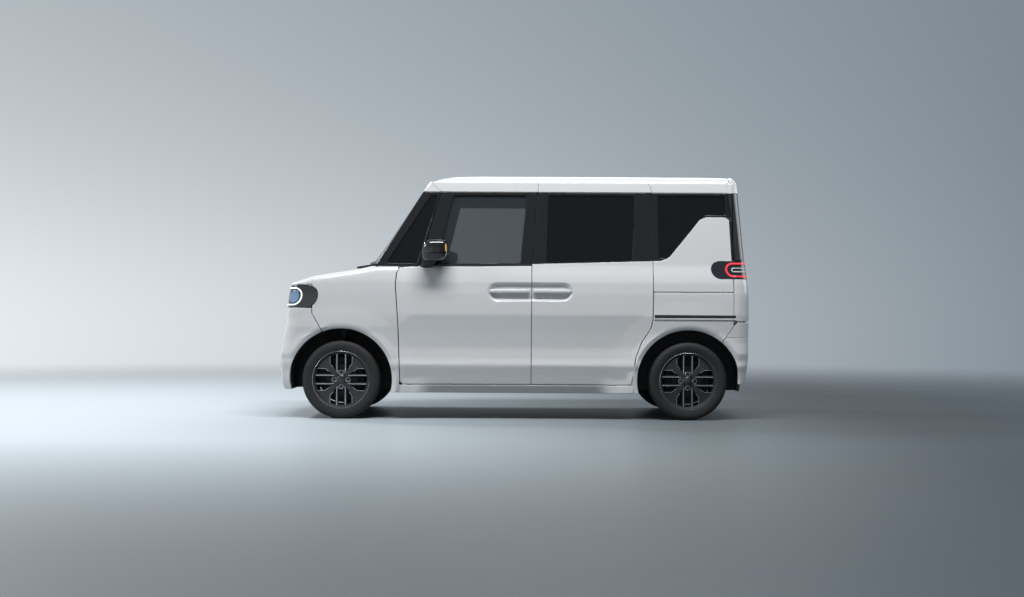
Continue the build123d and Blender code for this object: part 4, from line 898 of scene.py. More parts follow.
class WAGON_OT_front_clip(bpy.types.Operator):
    """Front bumper, and the grille panel with its bars"""
    bl_idname = "wagon.front_clip"
    bl_label = "Front clip"

    def execute(self, context):
        z = np.concatenate([np.linspace(212, 620, 60), np.linspace(626, 794, 20)])
        arch_x = F - np.sqrt(np.maximum(ARCH_R ** 2 - (z - AXLE_Z) ** 2, 0))
        corner_x = np.interp(z, [624, LAMP_LOW, 800], [F - 135, F - 210, F - 210])
        s = side_s(np.minimum(arch_x, corner_x), z)
        plan = between(xyz(-s, z), xyz(s, z), 15.0)
        dress(sheet("bumper_front", plan, hull_front, 20.0), "pearl", stands_for=("front_bumper",))
        # the panel between the lamps and the bars on it
        low = xyz(np.linspace(1 - LAMP_IN, LAMP_IN - 1, 60), 800.0)
        plan = between(low, low + [0, 157], 11.0)
        dress(sheet("grille_panel", plan, hull_front, 20.0), "trim", stands_for=("grille",))
        for i in range(5):
            low = xyz(np.linspace(12 - LAMP_IN, LAMP_IN - 12, 60), 812.0 + 29.0 * i)
            plan = between(low, low + [0, 15], 8.0, 4.0)
            dress(sheet(f"grille_bar_{i + 1}", plan, hull_front, 4.0, 4.0, lift=6.0), "gloss")
        return {"FINISHED"}


class WAGON_OT_bonnet(bpy.types.Operator):
    """Bonnet: the bonnet line carried across the car, crowned and turned down at the nose"""
    bl_idname = "wagon.bonnet"
    bl_label = "Bonnet"

    def execute(self, context):
        p = np.concatenate([np.linspace(0, 60, 16), np.linspace(70, 530, 40)])
        wide, near = 2 * BONNET_Y, np.array([0.0, 1, 2.5])
        y = np.concatenate([near, np.linspace(8, wide - 8, 50), wide - near[::-1]]) - BONNET_Y
        y = y * (BONNET_Y - GAP / 2) / BONNET_Y
        # the side view of the nose: a quarter turn from the lip to the bonnet line
        lip_z, turn_r = 964.0, 40.0
        start_x = float(nose_x(970.0)) + 4
        top_x = start_x + turn_r
        turn = np.clip(p / turn_r, 0, math.pi / 2)
        run = np.maximum(p - turn_r * math.pi / 2, 0)
        x = start_x + turn_r * (1 - np.cos(turn)) + run
        keep = x < F + 95
        x, turn, run = x[keep], turn[keep], run[keep]
        z = np.where(run > 0, bonnet_z(x), bonnet_z(top_x) - turn_r * (1 - np.sin(turn)))
        z = np.maximum(z, lip_z + (x - start_x) * 0.2)
        sink = CROWN * (np.abs(y) / BONNET_Y) ** 2.2
        swept = 26.0 * (np.abs(y) / BONNET_Y)[None] ** 4 * (run[:, None] == 0)
        grid = xyz(x[:, None] + swept, y[None], z[:, None] - sink[None])
        length = np.cumsum(np.hypot(np.diff(x, prepend=x[0]), np.diff(z, prepend=z[0])))
        plan = xyz(length[:, None], y[None])
        depth = edge_roll(from_lines(plan, borders(plan)))
        skin = shell_mesh("bonnet_skin", grid, depth, 14.0, ref=(F, 0, 300.0))
        dress(skin, "pearl", "bonnet", ("bonnet",))
        return {"FINISHED"}


class WAGON_OT_roof(bpy.types.Operator):
    """Roof: the roof line carried across the car and drawn down to the drip seams"""
    bl_idname = "wagon.roof"
    bl_label = "Roof"

    def execute(self, context):
        near = np.array([0, 0.8, 2, 4])
        y = np.concatenate([near - ROOF_HALF, np.linspace(-606, -500, 20), np.linspace(-480, 480, 40),
                            np.linspace(500, 606, 20), ROOF_HALF - near[::-1]])
        t = stations(2240.0, 24.0, EDGE_R)
        front = F + 556 + 44 * (np.abs(y) / 600) ** 2
        rear = R + 300.0
        x = front[None] + (rear - front)[None] * t[:, None]
        line = roof_z(F + 556 + (rear - F - 556) * t)[:, None]
        across = roof_section_z(np.abs(y))[None]
        z = 0.5 * (line + across - np.sqrt((line - across) ** 2 + 8.0 ** 2)) + SKIN + 1.5
        z = np.minimum(z, np.where(np.abs(y)[None] > 606, across + SKIN - 4, 1e9))
        grid = xyz(x, y[None], z)
        depth = edge_roll(from_lines(grid[..., :2], borders(grid[..., :2])))
        dress(shell_mesh("roof_skin", grid, depth, 12.0), "pearl", stands_for=("roof",))
        return {"FINISHED"}


class WAGON_OT_tail(bpy.types.Operator):
    """Rear bumper, corner panels, tailgate skin, its window frame and the cap over it"""
    bl_idname = "wagon.tail"
    bl_label = "Tail"

    def execute(self, context):
        def corner(z):
            """The line on which the bumper's corner ends."""
            return np.interp(z, [560, 676, 709], [R + 245, R + 326, R + 352])

        z = np.concatenate([np.linspace(262, 560, 50), np.linspace(566, 596, 6)])
        arch_x = R + np.sqrt(np.maximum(ARCH_R ** 2 - (z - AXLE_Z) ** 2, 0))
        s = side_s(np.maximum(arch_x, corner(z)), z, True)
        plan = between(xyz(-s, z), xyz(s, z), 15.0)
        dress(sheet("bumper_rear", plan, hull_tail, 20.0), "pearl", stands_for=("rear_bumper",))
        low, high = np.linspace(598, 706, 14), np.linspace(714, 1149, 40)
        pieces = (("bumper_ear", low, corner(low)), ("tail_corner", high, R + 324.0))
        for name, sign in SIDES:
            for kind, z, end_x in pieces:
                plan = between(xyz(sign * (GATE_S + 4), z), xyz(sign * side_s(end_x, z, True), z), 12.0, 2.0)
                dress(sheet(f"{kind}_{name}", plan, hull_tail, 12.0, 2.0), "pearl")
        z = np.linspace(603, 1149, 50)
        plan = between(xyz(-GATE_S, z), xyz(GATE_S, z), 18.0)
        dress(sheet("tailgate_skin", plan, hull_tail), "pearl", "tailgate")
        # black frame round the rear glass, wrapped to the side seams
        z = np.linspace(1156, RAIL_Z, 60)
        reach = side_s(R + 327.5, z, True)
        outer = np.concatenate([xyz(reach, z), xyz(-reach[::-1], z[::-1])])
        pane = rounded([(-590, 1190, 40), (590, 1190, 40), (545, 1612, 40), (-545, 1612, 40)])
        flat = HALF_W - section_in(pane[:, 1]) - TAIL_R
        pane = xyz(pane[:, 0] * TAIL_FLAT / flat * 0.985, pane[:, 1])
        frame_plan = ring((0, 1405), pane, outer, edge=2.0)
        dress(sheet("tailgate_frame", frame_plan, hull_tail, 10.0, 2.0, True), "gloss", "tailgate")
        # the cap over the glass: the tail's surface, then a curve forward to the roof's rear edge
        share = np.concatenate([[-1, -0.998], np.linspace(-0.99, 0.99, 110), [0.998, 1]])
        low, mid = (hull_tail(share * float(side_s(R + 306.0, z, True)), z) for z in (1644.0, 1694.0))
        for line in (low, mid):
            line[:, 0] += 9.0 * np.clip((line[:, 0] - R - 306.0) / 30.0, 0, 1)
            line[:, 1] *= 1.006
        y = np.clip(mid[:, 1], -612.0, 612.0)
        crest = np.minimum(roof_z(CAP_X), roof_section_z(np.abs(y))) + SKIN
        top = xyz(np.minimum(CAP_X, mid[:, 0]), y, crest)
        knee = xyz(mid[:, 0] - 4, mid[:, 1] * 0.4 + y * 0.6, crest)
        low, mid, knee, top = (line[:, None] for line in (low, mid, knee, top))
        rise = np.array([0.0, 0.03, 0.1, 0.3, 0.6, 1.0])[None, :, None]
        bend = np.linspace(0, 1, 22)[None, 1:, None]
        grid = np.concatenate([low * (1 - rise) + mid * rise,
                               mid * (1 - bend) ** 2 + 2 * knee * bend * (1 - bend) + top * bend ** 2], 1)
        dress(shell_mesh("tailgate_cap", grid, np.zeros(grid.shape[:2]), 12.0), "pearl", "tailgate")
        return {"FINISHED"}


# ================= lamps, mirrors, small parts =================
def lamp_patch(name, tail, s_in, end_x, z0, z1, sign):
    """A lamp cover on the hull: square at its inner end, a half circle at its outer end."""
    r = (z1 - z0) / 2
    turn = np.linspace(-math.pi / 2, math.pi / 2, 40)
    z = (z0 + z1) / 2 + r * np.sin(turn)
    s_end = float(side_s(end_x, (z0 + z1) / 2, tail))
    plan = between(xyz(sign * s_in, z), xyz(sign * (s_end - (r - r * np.cos(turn))), z), 9.0, 3.0)
    return sheet(name, plan, hull_tail if tail else hull_front, 4.0, 3.0, lift=1.5)


def lamp_ring(name, tail, s0, s1, z0, z1, sign, lift, width):
    """A light guide: a tube carried round a C on the hull, open at its inner side."""
    r = (z1 - z0) / 2
    turn = np.linspace(-math.pi / 2, math.pi / 2, 24)
    s = np.concatenate([np.linspace(s0, s1 - r, 20), s1 - r + r * np.cos(turn), np.linspace(s1 - r, s0, 20)])
    z = np.concatenate([np.full(20, z0), (z0 + z1) / 2 + r * np.sin(turn), np.full(20, z1)])
    path = hull(sign * s, z, tail)
    out = unit(np.cross(hull(sign * s + 0.5, z, tail) - path, hull(sign * s, z + 0.5, tail) - path))
    out *= np.sign((out * (path - BODY_MIDDLE)).sum(1, keepdims=True))
    step = unit(np.gradient(path, axis=0))
    return loft(name, circle(1.0, 10, 0.45) * width, path + out * lift, np.cross(step, out), out)


class WAGON_OT_lamps(bpy.types.Operator):
    """Headlamps and tail lamps: dark housings with plain light guides and reflectors"""
    bl_idname = "wagon.lamps"
    bl_label = "Lamps"

    def execute(self, context):
        head_z, tail_z = 877.0, 1082.0
        head_end = float(side_s(LAMP_FRONT_END, head_z))
        tail_end = float(side_s(TAIL_LAMP_END, tail_z, True))
        turn = np.linspace(-math.pi / 2, math.pi / 2, 30)
        for i, (name, sign) in enumerate(SIDES):
            piece = lamp_patch(f"headlamp_{name}", False, LAMP_IN, LAMP_FRONT_END, *HEADLAMP_Z, sign)
            dress(piece, "lamp_dark", stands_for=("headlamps",) if i == 0 else ())
            guide = (LAMP_IN + 70, head_end - 118, 818.0, 936.0)
            dress(lamp_ring(f"headlamp_guide_{name}", False, *guide, sign, 2.5, 5.0), "lamp_glow")
            z, half = head_z + 44.0 * np.sin(turn), 44.0 * np.cos(turn) + 0.5
            middle = head_end - 178
            plan = between(xyz(sign * (middle - half), z), xyz(sign * (middle + half), z), 7.0, 2.0)
            dress(sheet(f"headlamp_reflector_{name}", plan, hull_front, 3.0, 2.0, lift=3.0), "lamp_blue")
            piece = lamp_patch(f"tail_lamp_{name}", True, GATE_S + 5, TAIL_LAMP_END, *TAIL_LAMP_Z, sign)
            dress(piece, "lamp_dark", stands_for=("tail_lamps",) if i == 0 else (), slot="tail_lamp")
            guide = (GATE_S + 12, tail_end - 110, 1036.0, 1129.0)
            dress(lamp_ring(f"tail_lamp_guide_{name}", True, *guide, sign, 2.5, 6.0), "tail_glow")
            core = (GATE_S + 12, tail_end - 150, 1070.0, 1096.0)
            dress(lamp_ring(f"tail_lamp_core_{name}", True, *core, sign, 2.0, 4.0), "plate", slot="tail_lamp")
        return {"FINISHED"}


class WAGON_OT_mirrors(bpy.types.Operator):
    """Door mirrors: a rounded head, its glass, an amber strip and a foot"""
    bl_idname = "wagon.mirrors"
    bl_label = "Mirrors"

    def execute(self, context):
        t = 0.5 - 0.5 * np.cos(np.linspace(0, math.pi, 30))
        size = np.clip(1 - np.abs(2 * t - 1) ** 4, 0.0004, 1) ** 0.4
        path = xyz(F + 668 + 12 * t, -(HALF_W - 12 + 172 * t), 1206 + 8 * t)
        profile = scaled(circle(1.0, 40, 1.0, 0.62), 95 * size, 76 * size)
        head = loft("mirror_head_left", profile, path, ALONG, (0.12, 0, 0.993))
        both(head, "gloss", FRONT_DOORS, (("mirror_left",), ("mirror_right",)))
        t = np.linspace(0, 1, 24)
        size = 1 - 0.35 * np.sin(math.pi * np.minimum(t * 1.1, 1))
        path = xyz(F + 600 + 46 * t, -(HALF_W - 44 + 66 * t), 1093 + 68 * t ** 1.5)
        profile = scaled(circle(1.0, 28, 1.0, 0.7), 62 * size, 24 * size)
        both(loft("mirror_foot_left", profile, path, ALONG, (0, 0.3, 0.954)), "trim", FRONT_DOORS)
        half_u, half_v = 60.0, 42.0

        def pane(u, v):
            """The glass: curved both ways, its outer end turned towards the nose."""
            x = F + 772.5 - 9 * (u / half_u) ** 2 - u / 12 - 5 * (v / half_v) ** 2
            return xyz(x, -(HALF_W + 84 + u), 1214 + v)

        plan = strip(-half_u, -half_v, half_u, half_v, 10.0, 3.0)
        both(sheet("mirror_glass_left", plan, pane, 6.0), "steel", FRONT_DOORS)
        path = xyz(F + 757, -(HALF_W + 158), 1226 + np.linspace(-24, 24, 14))
        both(loft("mirror_amber_left", circle(4.0, 10, 1.2), path, ALONG, ACROSS), "amber", FRONT_DOORS)
        return {"FINISHED"}


class WAGON_OT_trim(bpy.types.Operator):
    """Sliding rails, shut lines, wipers, lower intake, blank plates and the tailgate's grip"""
    bl_idname = "wagon.trim"
    bl_label = "Trim"

    def execute(self, context):
        a, b = np.array([[R - 246.0, 733], [R - 246, 758]]), np.array([[R + 337.0, 735], [R + 337, 756]])
        both(sheet("slide_rail_left", between(a, b, edge=1.5), side, 5.0, 1.5, lift=0.8), "trim")
        ledge = strip(R - 246.0, 724, R + 337.0, 732, edge=3.5)
        both(sheet("slide_ledge_left", ledge, side, 5.0, 3.5, lift=3.5), "pearl")
        seams = (("roof_front", [(F + 716, 1642), (F + 660, 1690), (F + 640, 1715)]),
                 ("roof_middle", [(F + 1411, 1642), (F + 1415, 1716)]),
                 ("roof_rear", [(R - 262, 1642), (R - 268, 1685), (R - 290, 1716)]),
                 ("bumper", [(F - 207, 758), (F - 207, 796)]))
        for name, line in seams:
            points = along(np.array(line, float), np.linspace(0, 1, 24))
            path = side(points[:, 0], points[:, 1]) * [1, -1, 1]
            both(loft(f"seam_{name}_left", circle(1.3, 8), path, ALONG, ACROSS), "trim")
        # wiper arms and blades across the foot of the windscreen
        for i, (y0, y1) in enumerate(((-520, -60), (-20, 520))):
            y = np.linspace(y0, y1, 30)
            rise = 6 * np.sin(np.linspace(0, math.pi, 30))
            path = xyz(F + 150 + 110 * (np.abs(y) / 620) ** 2, y, 1126 + rise)
            dress(loft(f"wiper_{i + 1}", circle(6.0, 10, 1.5), path, ALONG, UP), "trim")
        # name, half-width, low, high, step, thickness, lean, surface, lift, look, body
        flats = [("lower_intake", 470.0, 300, 410, 16.0, 4.0, 30.0, hull_front, 2.0, "trim", "root")]
        flats += [(f"intake_bar_{i + 1}", 465.0, 318.0 + 30 * i, 330.0 + 30 * i, 16.0, 3.0, 0.0,
                   hull_front, 5.5, "gloss", "root") for i in range(3)]
        flats += [("plate_front", 165.0, 520.0, 685.0, 20.0, 3.0, 0.0, hull_front, 5.0, "plate", "root"),
                  ("plate_rear", 165.0, 800.0, 965.0, 20.0, 3.0, 0.0, hull_tail, 5.0, "plate", "tailgate"),
                  ("tailgate_grip", 330.0, 985, 1012, 16.0, 6.0, 0.0, hull_tail, 9.0, "gloss", "tailgate")]
        for name, half, z0, z1, step, thick, lean, surface, lift, look, body in flats:
            plan = strip(-half, z0, half, z1, step, thick, lean)
            dress(sheet(name, plan, surface, thick, thick, lift=lift), look, body)
        return {"FINISHED"}


# ================= wheels =================
def tyre_profile(groove):
    """Half of a tyre's section, mirrored: bead, bulging sidewall with rings, shoulder and grooved tread."""
    half = [(186, 60), (192, 66), (199, 70), (208, 74.5), (212, 75.2), (214, 75.9), (217, 76.6), (226, 79),
            (236, 80.6), (243, 80.9), (244, 80.2), (247, 80.3), (248, 80.8), (256, 79.5), (264, 76.6),
            (270, 73.2), (274.5, 69.4), (277.4, 65), (278.6, 60), (279.2, 54)]
    for y0, y1 in ((50, 44), (22, 14)):
        half += [(280.0, y0), (280.0 - groove, y0 - 1.2), (280.0 - groove, y1 + 1.2), (280.3, y1),
                 (280.6, (y1 + 1) / 2 + 3)]
    return np.concatenate([np.array(half, float), (np.array(half) * [1, -1])[::-1]])


class WAGON_OT_wheels(bpy.types.Operator):
    """Tyres with sidewall rings and cut tread; two-tone wheels with four paired arms"""
    bl_idname = "wagon.wheels"
    bl_label = "Wheels"

    def execute(self, context):
        look = context.scene.wagon_tyres
        profile = tyre_profile(look.groove * 1000)
        blocks = look.blocks

        def ripple(a, r, y):
            """Cross grooves: slanted notches in the outer tread rows, deepest outside."""
            phase = (a / (2 * math.pi) * blocks + np.abs(y) * 0.02) % 1.0
            notch = ease((phase - 0.78) / 0.05) * ease((1.0 - phase) / 0.05)
            return -3.2 * notch * ease((np.abs(y) - 20) / 5.0) * ease((r - 272.0) / 4.0)

        for where, axle_x, sign in WHEELS:
            lo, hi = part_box(f"tyre_{where}")
            centre = np.array([axle_x, (lo.y + hi.y) * 500.0, AXLE_Z])
            body = f"wheel_{where}"
            tyre = lathe(f"tyre_{where}_tread", profile, centre, sign, blocks * 5, ripple)
            dress(tyre, "rubber", body, (f"tyre_{where}",))
            rim_face(where, centre, sign, body)
        return {"FINISHED"}


def rim_face(where, centre, sign, body):
    """A wheel: a turned barrel, four dark quadrant panels, eight machined arms, a hub with four recesses."""
    face_y = 56.0
    out = np.array([0, sign, 0.0])
    parts, cuts = [], []

    def turned(store, name, profile, at_point, count):
        store.append(lathe(f"{name}_{where}", profile, at_point, sign, count))

    def at(u, v, depth=0.0):
        return centre + xyz(u, sign * (face_y + depth), v)

    barrel = [(206, 73), (207, 71), (205, 66), (196, 62), (192.5, 58), (186, 50), (181, 30), (174, 0),
              (172, -40), (184, -64), (204, -70), (204, -66), (188, -60), (178, -40), (180, 0), (187, 30),
              (194, 54), (203, 69)]
    turned(parts, "barrel", barrel, centre, 120)
    for k in range(4):
        turn = math.pi / 2 * k
        c, s = math.cos(turn), math.sin(turn)

        def spin(points):
            points = np.asarray(points, float)
            return xyz(points[:, 0] * c - points[:, 1] * s, points[:, 0] * s + points[:, 1] * c)

        def bar(line, width, height, depth, store, taper=1.0):
            """A bevelled bar along a line on the wheel's face."""
            path = spin(along(np.array(line, float), np.linspace(0, 1, 12)))
            step = unit(np.gradient(path, axis=0))
            w = np.linspace(1.0, taper, 12)
            shape = np.array([(-1, -1), (-1, 0.55), (-0.7, 1), (0.7, 1), (1, 0.55), (1, -1)])
            profile = scaled(shape * [width / 2, height / 2], w, 1.0)
            across = xyz(-step[:, 1], 0.0, step[:, 0])
            name = f"bar_{where}_{k}_{len(store)}"
            store.append(loft(name, profile, at(path[:, 0], path[:, 1], depth), across, out))

        for offset in (-31.0, 31.0):
            bar([(offset * 0.8, 40), (offset, 74), (offset, 189)], 20.0, 26.0, -17.0, parts, 1.1)
            bar([(offset * 0.9, 50), (offset, 78), (offset, 189.5)], 5.5, 4.0, -3.0, cuts)
        # the dark quadrant panel between two arms, with its machined border
        middle = 128.0
        arc = np.linspace(math.radians(26), math.radians(64), 20)
        inner = [(80.0, 172.0), (79, 118), (86, 104), (104, 86), (118, 79), (172, 80)]
        panel = np.concatenate([inner, xyz(190 * np.cos(arc), 190 * np.sin(arc))])
        panel = panel[np.argsort(np.arctan2(panel[:, 1] - middle, panel[:, 0] - middle))]
        outer_line, hub = spin(panel), spin([(middle, middle)])[0]
        plan = ring(tuple(hub), hub + (outer_line - hub) * 0.06, outer_line, 9.0)
        rim_line = np.concatenate([plan[:, -1], plan[:1, -1]])
        depth = edge_roll(from_lines(plan, [rim_line]), 3.0) + 7.0
        grid = at(plan[..., 0], plan[..., 1])
        parts.append(shell_mesh(f"panel_{where}_{k}", grid, depth, 22.0, True, centre - out * 500))
        bar([(80, 174), (79, 116), (58, 88)], 3.6, 4.0, -2.5, cuts)
        bar([(174, 80), (116, 79), (88, 58)], 3.6, 4.0, -2.5, cuts)
        bar([(30, 30), (70, 70), (104, 104)], 38.0, 26.0, -16.0, parts, 1.3)
        # a lug recess on each arm's middle line, with its nut and a machined ring
        u, v = spin([(0.0, 50.0)])[0]
        recess = [(13, 1), (15.5, 2.5), (18, 1.5), (18, -16), (13, -16), (12.5, -3)]
        turned(parts, f"lug_{k}", recess, at(u, v, -8.0), 28)
        turned(cuts, f"nut_{k}", [(0.5, 4), (7, 4), (9, 0), (9, -8), (0.5, -8)], at(u, v, -16.0), 6)
        turned(cuts, f"moon_{k}", [(15.2, 3.2), (17.6, 2.6), (17.6, 1.0), (15.2, 1.0)], at(u, v, -8.0), 28)
    hub_at = centre + out * (face_y - 4)
    hub_line = [(0.5, 2), (26, 1), (31, -2), (33, -5), (58, -8), (66, -14), (66, -34), (0.5, -34)]
    turned(parts, "hub", hub_line, hub_at, 64)
    turned(parts, "cap", [(0.5, 7), (18, 6), (25, 3), (27, 0), (27, -6), (0.5, -6)], hub_at, 48)
    turned(cuts, "lip", [(203.5, 73.6), (205.8, 72.4), (205, 70.4), (202.5, 71.4)], centre, 120)
    turned(cuts, "step", [(190.5, 58.6), (193, 59.4), (193, 56.5), (190.5, 56.0)], centre, 120)
    dress(join(f"rim_{where}_dark", parts), "alloy", body, (f"rim_{where}",))
    dress(join(f"rim_{where}_machined", cuts), "cut", body)
    disc = [(60, 6), (112, 6), (114, 3), (114, -3), (112, -6), (60, -6)]
    dress(lathe(f"brake_{where}", disc, centre + out * 4.0, sign, 72), "iron", body)
    shield = lathe(f"shield_{where}", [(40, -8), (160, -10), (166, -14), (160, -13), (40, -11)],
                   centre - out * 4.0, sign, 72)
    dress(shield, "underseal", where.replace("front", "knuckle") if "front" in where else "root")


# ================= cabin =================
def cushion(name, centre, half, power, tilt, seams=(), stands_for=()):
    """A stuffed form: a sphere's grid pushed towards a box by a power below one, crowned, filled out by a
    short cloth simulation, then pinched along its seams: (axis, place, depth)."""
    a = np.linspace(-math.pi / 2, math.pi / 2, 41)[:, None]
    b = np.linspace(-math.pi, math.pi, 72, endpoint=False)[None]

    def toward(v):
        return np.sign(v) * np.abs(v) ** power

    x, y = toward(np.cos(a)) * toward(np.cos(b)), toward(np.cos(a)) * toward(np.sin(b))
    crown = 1 + 0.16 * (1 - np.clip(x, -1, 1) ** 2) * (1 - np.clip(y, -1, 1) ** 2)
    grid = xyz(x * half[0], y * half[1], (toward(np.sin(a)) + 0 * b) * half[2] * crown)
    piece = solid(name, grid.reshape(-1, 3), quads(grid, False, True)[1][:, [0, 3, 2, 1]], 80.0)
    fill_out(piece)
    co = coordinates(piece.data) * 1000
    for axis, place, depth in seams:
        pinch = np.exp(-((np.abs(co[:, axis]) - place) / SEAM_WIDTH) ** 2) * depth
        co[:, 2] -= np.sign(co[:, 2]) * pinch
    c, s = math.cos(tilt), math.sin(tilt)
    turned = xyz(co[:, 0] * c + co[:, 2] * s, co[:, 1], -co[:, 0] * s + co[:, 2] * c) + np.array(centre)
    place_vertices(piece.data, turned * MM)
    piece.data.update()
    dress(piece, "fabric", "root", stands_for)


def fill_out(piece):
    """A cover under pressure: an even skin is blown out a little by a cloth simulation, then kept."""
    before = coordinates(piece.data)
    cloth = piece.modifiers.new("cover", "CLOTH")
    cloth.settings.quality = 4
    cloth.settings.mass = 0.4
    cloth.settings.tension_stiffness = 25
    cloth.settings.use_pressure = True
    cloth.settings.uniform_pressure_force = COVER_PRESSURE
    cloth.settings.effector_weights.gravity = 0.0
    cloth.point_cache.frame_end = FILL_FRAMES + 4
    scene = bpy.context.scene
    for number in range(1, FILL_FRAMES + 1):
        scene.frame_set(number)
    evaluated = piece.evaluated_get(bpy.context.evaluated_depsgraph_get())
    after = coordinates(evaluated.to_mesh())
    evaluated.to_mesh_clear()
    piece.modifiers.clear()
    scene.frame_set(1)
    place_vertices(piece.data, before + np.clip(after - before, -FILL_REACH, FILL_REACH))
    piece.data.update()


class WAGON_OT_seats(bpy.types.Operator):
    """Front seats and rear bench: plinths, cushions, backrests and head restraints"""
    bl_idname = "wagon.seats"
    bl_label = "Seats"

    def execute(self, context):
        for name, y in (("front_seat_left", -340.0), ("front_seat_right", 340.0)):
            seat(name, F + 760, F + 1260, y, 250.0, 471.0, (name,))
        for i, y in enumerate((-250.0, 250.0)):
            seat(f"rear_bench_{i + 1}", R - 690, R - 210, y, 249.0, 501.0, ("rear_seat",) if i == 0 else ())
        return {"FINISHED"}


def seat(name, front_x, back_x, y, wide, foot_z, nodes):
    """One seat place: plinth, cushion, leaning backrest, head restraint and its two posts."""
    middle = (front_x + back_x) / 2
    upright = math.pi / 2
    cushion(f"{name}_cushion", (middle - 5, y, foot_z + 74), ((back_x - front_x) / 2 + 8, wide - 3, 66), 0.34,
            -0.04, ((1, wide * 0.62, 8.0), (0, 90.0, 6.0)), nodes)
    cushion(f"{name}_back", (back_x + 92, y, foot_z + 344), (338, wide - 10, 62), 0.36, 0.19 - upright,
            ((1, wide * 0.6, 8.0), (0, 110.0, 6.0)))
    cushion(f"{name}_head", (back_x + 196, y, foot_z + 772), (84, 122, 44), 0.5, 0.17 - upright)
    for i, shift in enumerate((-60.0, 60.0)):
        z = np.linspace(foot_z + 640, foot_z + 730, 10)
        path = xyz(back_x + 172 + (z - foot_z - 680) * 0.18, y + shift, z)
        dress(loft(f"{name}_post_{i + 1}", circle(6.0, 12), path, ALONG, ACROSS), "steel")
    z = np.array([250.0, 254, 300, foot_z - 30, foot_z - 4, foot_z])
    size = np.array([0.96, 0.98, 0.97, 0.9, 0.9, 0.88])
    profile = scaled(circle(1.0, 48, 1.0, 0.25), 205 * size, (wide - 36) * size)
    dress(loft(f"{name}_plinth", profile, xyz(middle + 60, y, z), ALONG, ACROSS), "trim")


class WAGON_OT_steering_wheel(bpy.types.Operator):
    """Steering wheel: a thick rim, three spokes and a plain boss"""
    bl_idname = "wagon.steering_wheel"
    bl_label = "Steering wheel"

    def execute(self, context):
        centre = np.array([F + 640.0, 340.0, 930.0])
        lean = math.radians(25)
        axis, up = xyz(math.cos(lean), 0, math.sin(lean)), xyz(-math.sin(lean), 0, math.cos(lean))
        a = np.linspace(0, 2 * math.pi, 72, endpoint=False)
        spoke = np.cos(a)[:, None] * up + np.sin(a)[:, None] * np.array(ACROSS)
        parts = [loft("steering_rim", circle(14.0, 16), centre + 169 * spoke, spoke, axis, closed_path=True)]
        t = np.linspace(0, 1, 10)[:, None]
        for turn in (math.pi / 2, math.pi, -math.pi / 2):
            d = math.cos(turn) * up + math.sin(turn) * np.array(ACROSS)
            path = centre + d * (30 + 136 * t) - axis * 10 * (1 - t)
            spoke = loft(f"spoke_{turn:.1f}", circle(1.0, 12, 0.45) * 20, path, np.cross(d, axis), axis)
            parts.append(spoke)
        t = np.linspace(-1, 1, 14)
        size = 62 * np.sqrt(np.clip(1 - t ** 4, 0.02, 1))
        profile = scaled(circle(1.0, 36, 0.8, 0.75), size, size)
        parts.append(loft("steering_boss", profile, centre + axis * (t[:, None] * 20 + 2), ACROSS, up))
        dress(join("steering_wheel_dressed", parts), "trim", "steering_wheel", ("steering_wheel",))
        return {"FINISHED"}


class WAGON_OT_cad_finishes(bpy.types.Operator):
    """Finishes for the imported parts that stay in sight"""
    bl_idname = "wagon.cad_finishes"
    bl_label = "Packed parts"

    def execute(self, context):
        # glass comes first, because the tailgate's name begins its glass's name
        table = {"glass": ("windshield", "front_door_glass"), "privacy": ("side_glass", "tailgate_glass"),
                 "frame": ("side_frame", "sliding_door", "front_door_left", "front_door_right",
                           "tailgate", "roof", "front_fenders", "bonnet"),
                 "underseal": ("floor_pan", "fuel_tank"),
                 "iron": ("front_suspension", "rear_axle", "knuckle", "engine"),
                 "steel": ("exhaust", "steering_column"), "dash": ("dashboard",), "trim": ("cowl", "mirror"),
                 "alloy": ("rim",), "rubber": ("tyre",), "fabric": ("front_seat", "rear_seat")}
        for name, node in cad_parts.items():
            repaint(node, next((look for look, starts in table.items() if name.startswith(starts)), "trim"))
        return {"FINISHED"}


# ================= studio =================
def seen_rays(tree):
    """1 for rays that show the background: straight from the camera, mirrored or passed through glass."""
    rays, value = tree.nodes.new("ShaderNodeLightPath"), 0.0
    for kind in ("Is Camera Ray", "Is Glossy Ray", "Is Transmission Ray"):
        value = calc(tree, "MAXIMUM", rays.outputs[kind], value)
    return value


def show(tree, share, first, second, out):
    """Mixes two shaders and shows the result."""
    node = tree.nodes.new("ShaderNodeMixShader")
    for socket, value in zip(node.inputs, (share, first, second)):
        feed(tree, socket, value.outputs[0] if isinstance(value, bpy.types.Node) else value)
    feed(tree, tree.nodes[out].inputs["Surface"], node.outputs[0])


def floor_zones(look):
    """The floor is pale behind and towards the nose; painted shade darkens its colour towards the camera and
    the tail. What it bounces onto the car is kept low; what is seen of it is not."""
    def build(tree, place, colour):
        x, y, _ = split(tree, place, "Object")
        # painted shade: the floor's colour darkens towards the camera (low y) and towards the tail (high x)
        depth = map_range(tree, y, (-7.7, -2.6))
        across = map_range(tree, x, (-3.4, 3.0), (1.0, 0.10), "SMOOTHSTEP")
        seen = mix(tree, calc(tree, "MULTIPLY", depth, across), tuple(look.painted_shade_colour), colour)
        return mix(tree, seen_rays(tree), tuple(look.bounce_colour), seen)
    return build


# Lamps: name, place, aim, size in metres, power in watts
LAMPS = (("near_side", (0.2, -4.6, 8.6), (0.2, -0.6, 0.8), (7.0, 1.6), 900.0),
         ("front_left", (-8.0, -3.0, 4.4), (-0.6, 0.0, 0.7), (3.0, 2.4), 205.0),
         ("key_behind", (-6.6, 2.4, 5.6), (0.3, 0.0, 0.2), (0.9, 0.9), 330.0),
         ("far_side", (1.5, 6.0, 6.4), (0.2, 0.0, 0.8), (5.0, 1.8), 150.0),
         ("tail", (8.0, 1.5, 3.6), (1.2, 0.0, 0.9), (5.0, 3.4), 90.0))


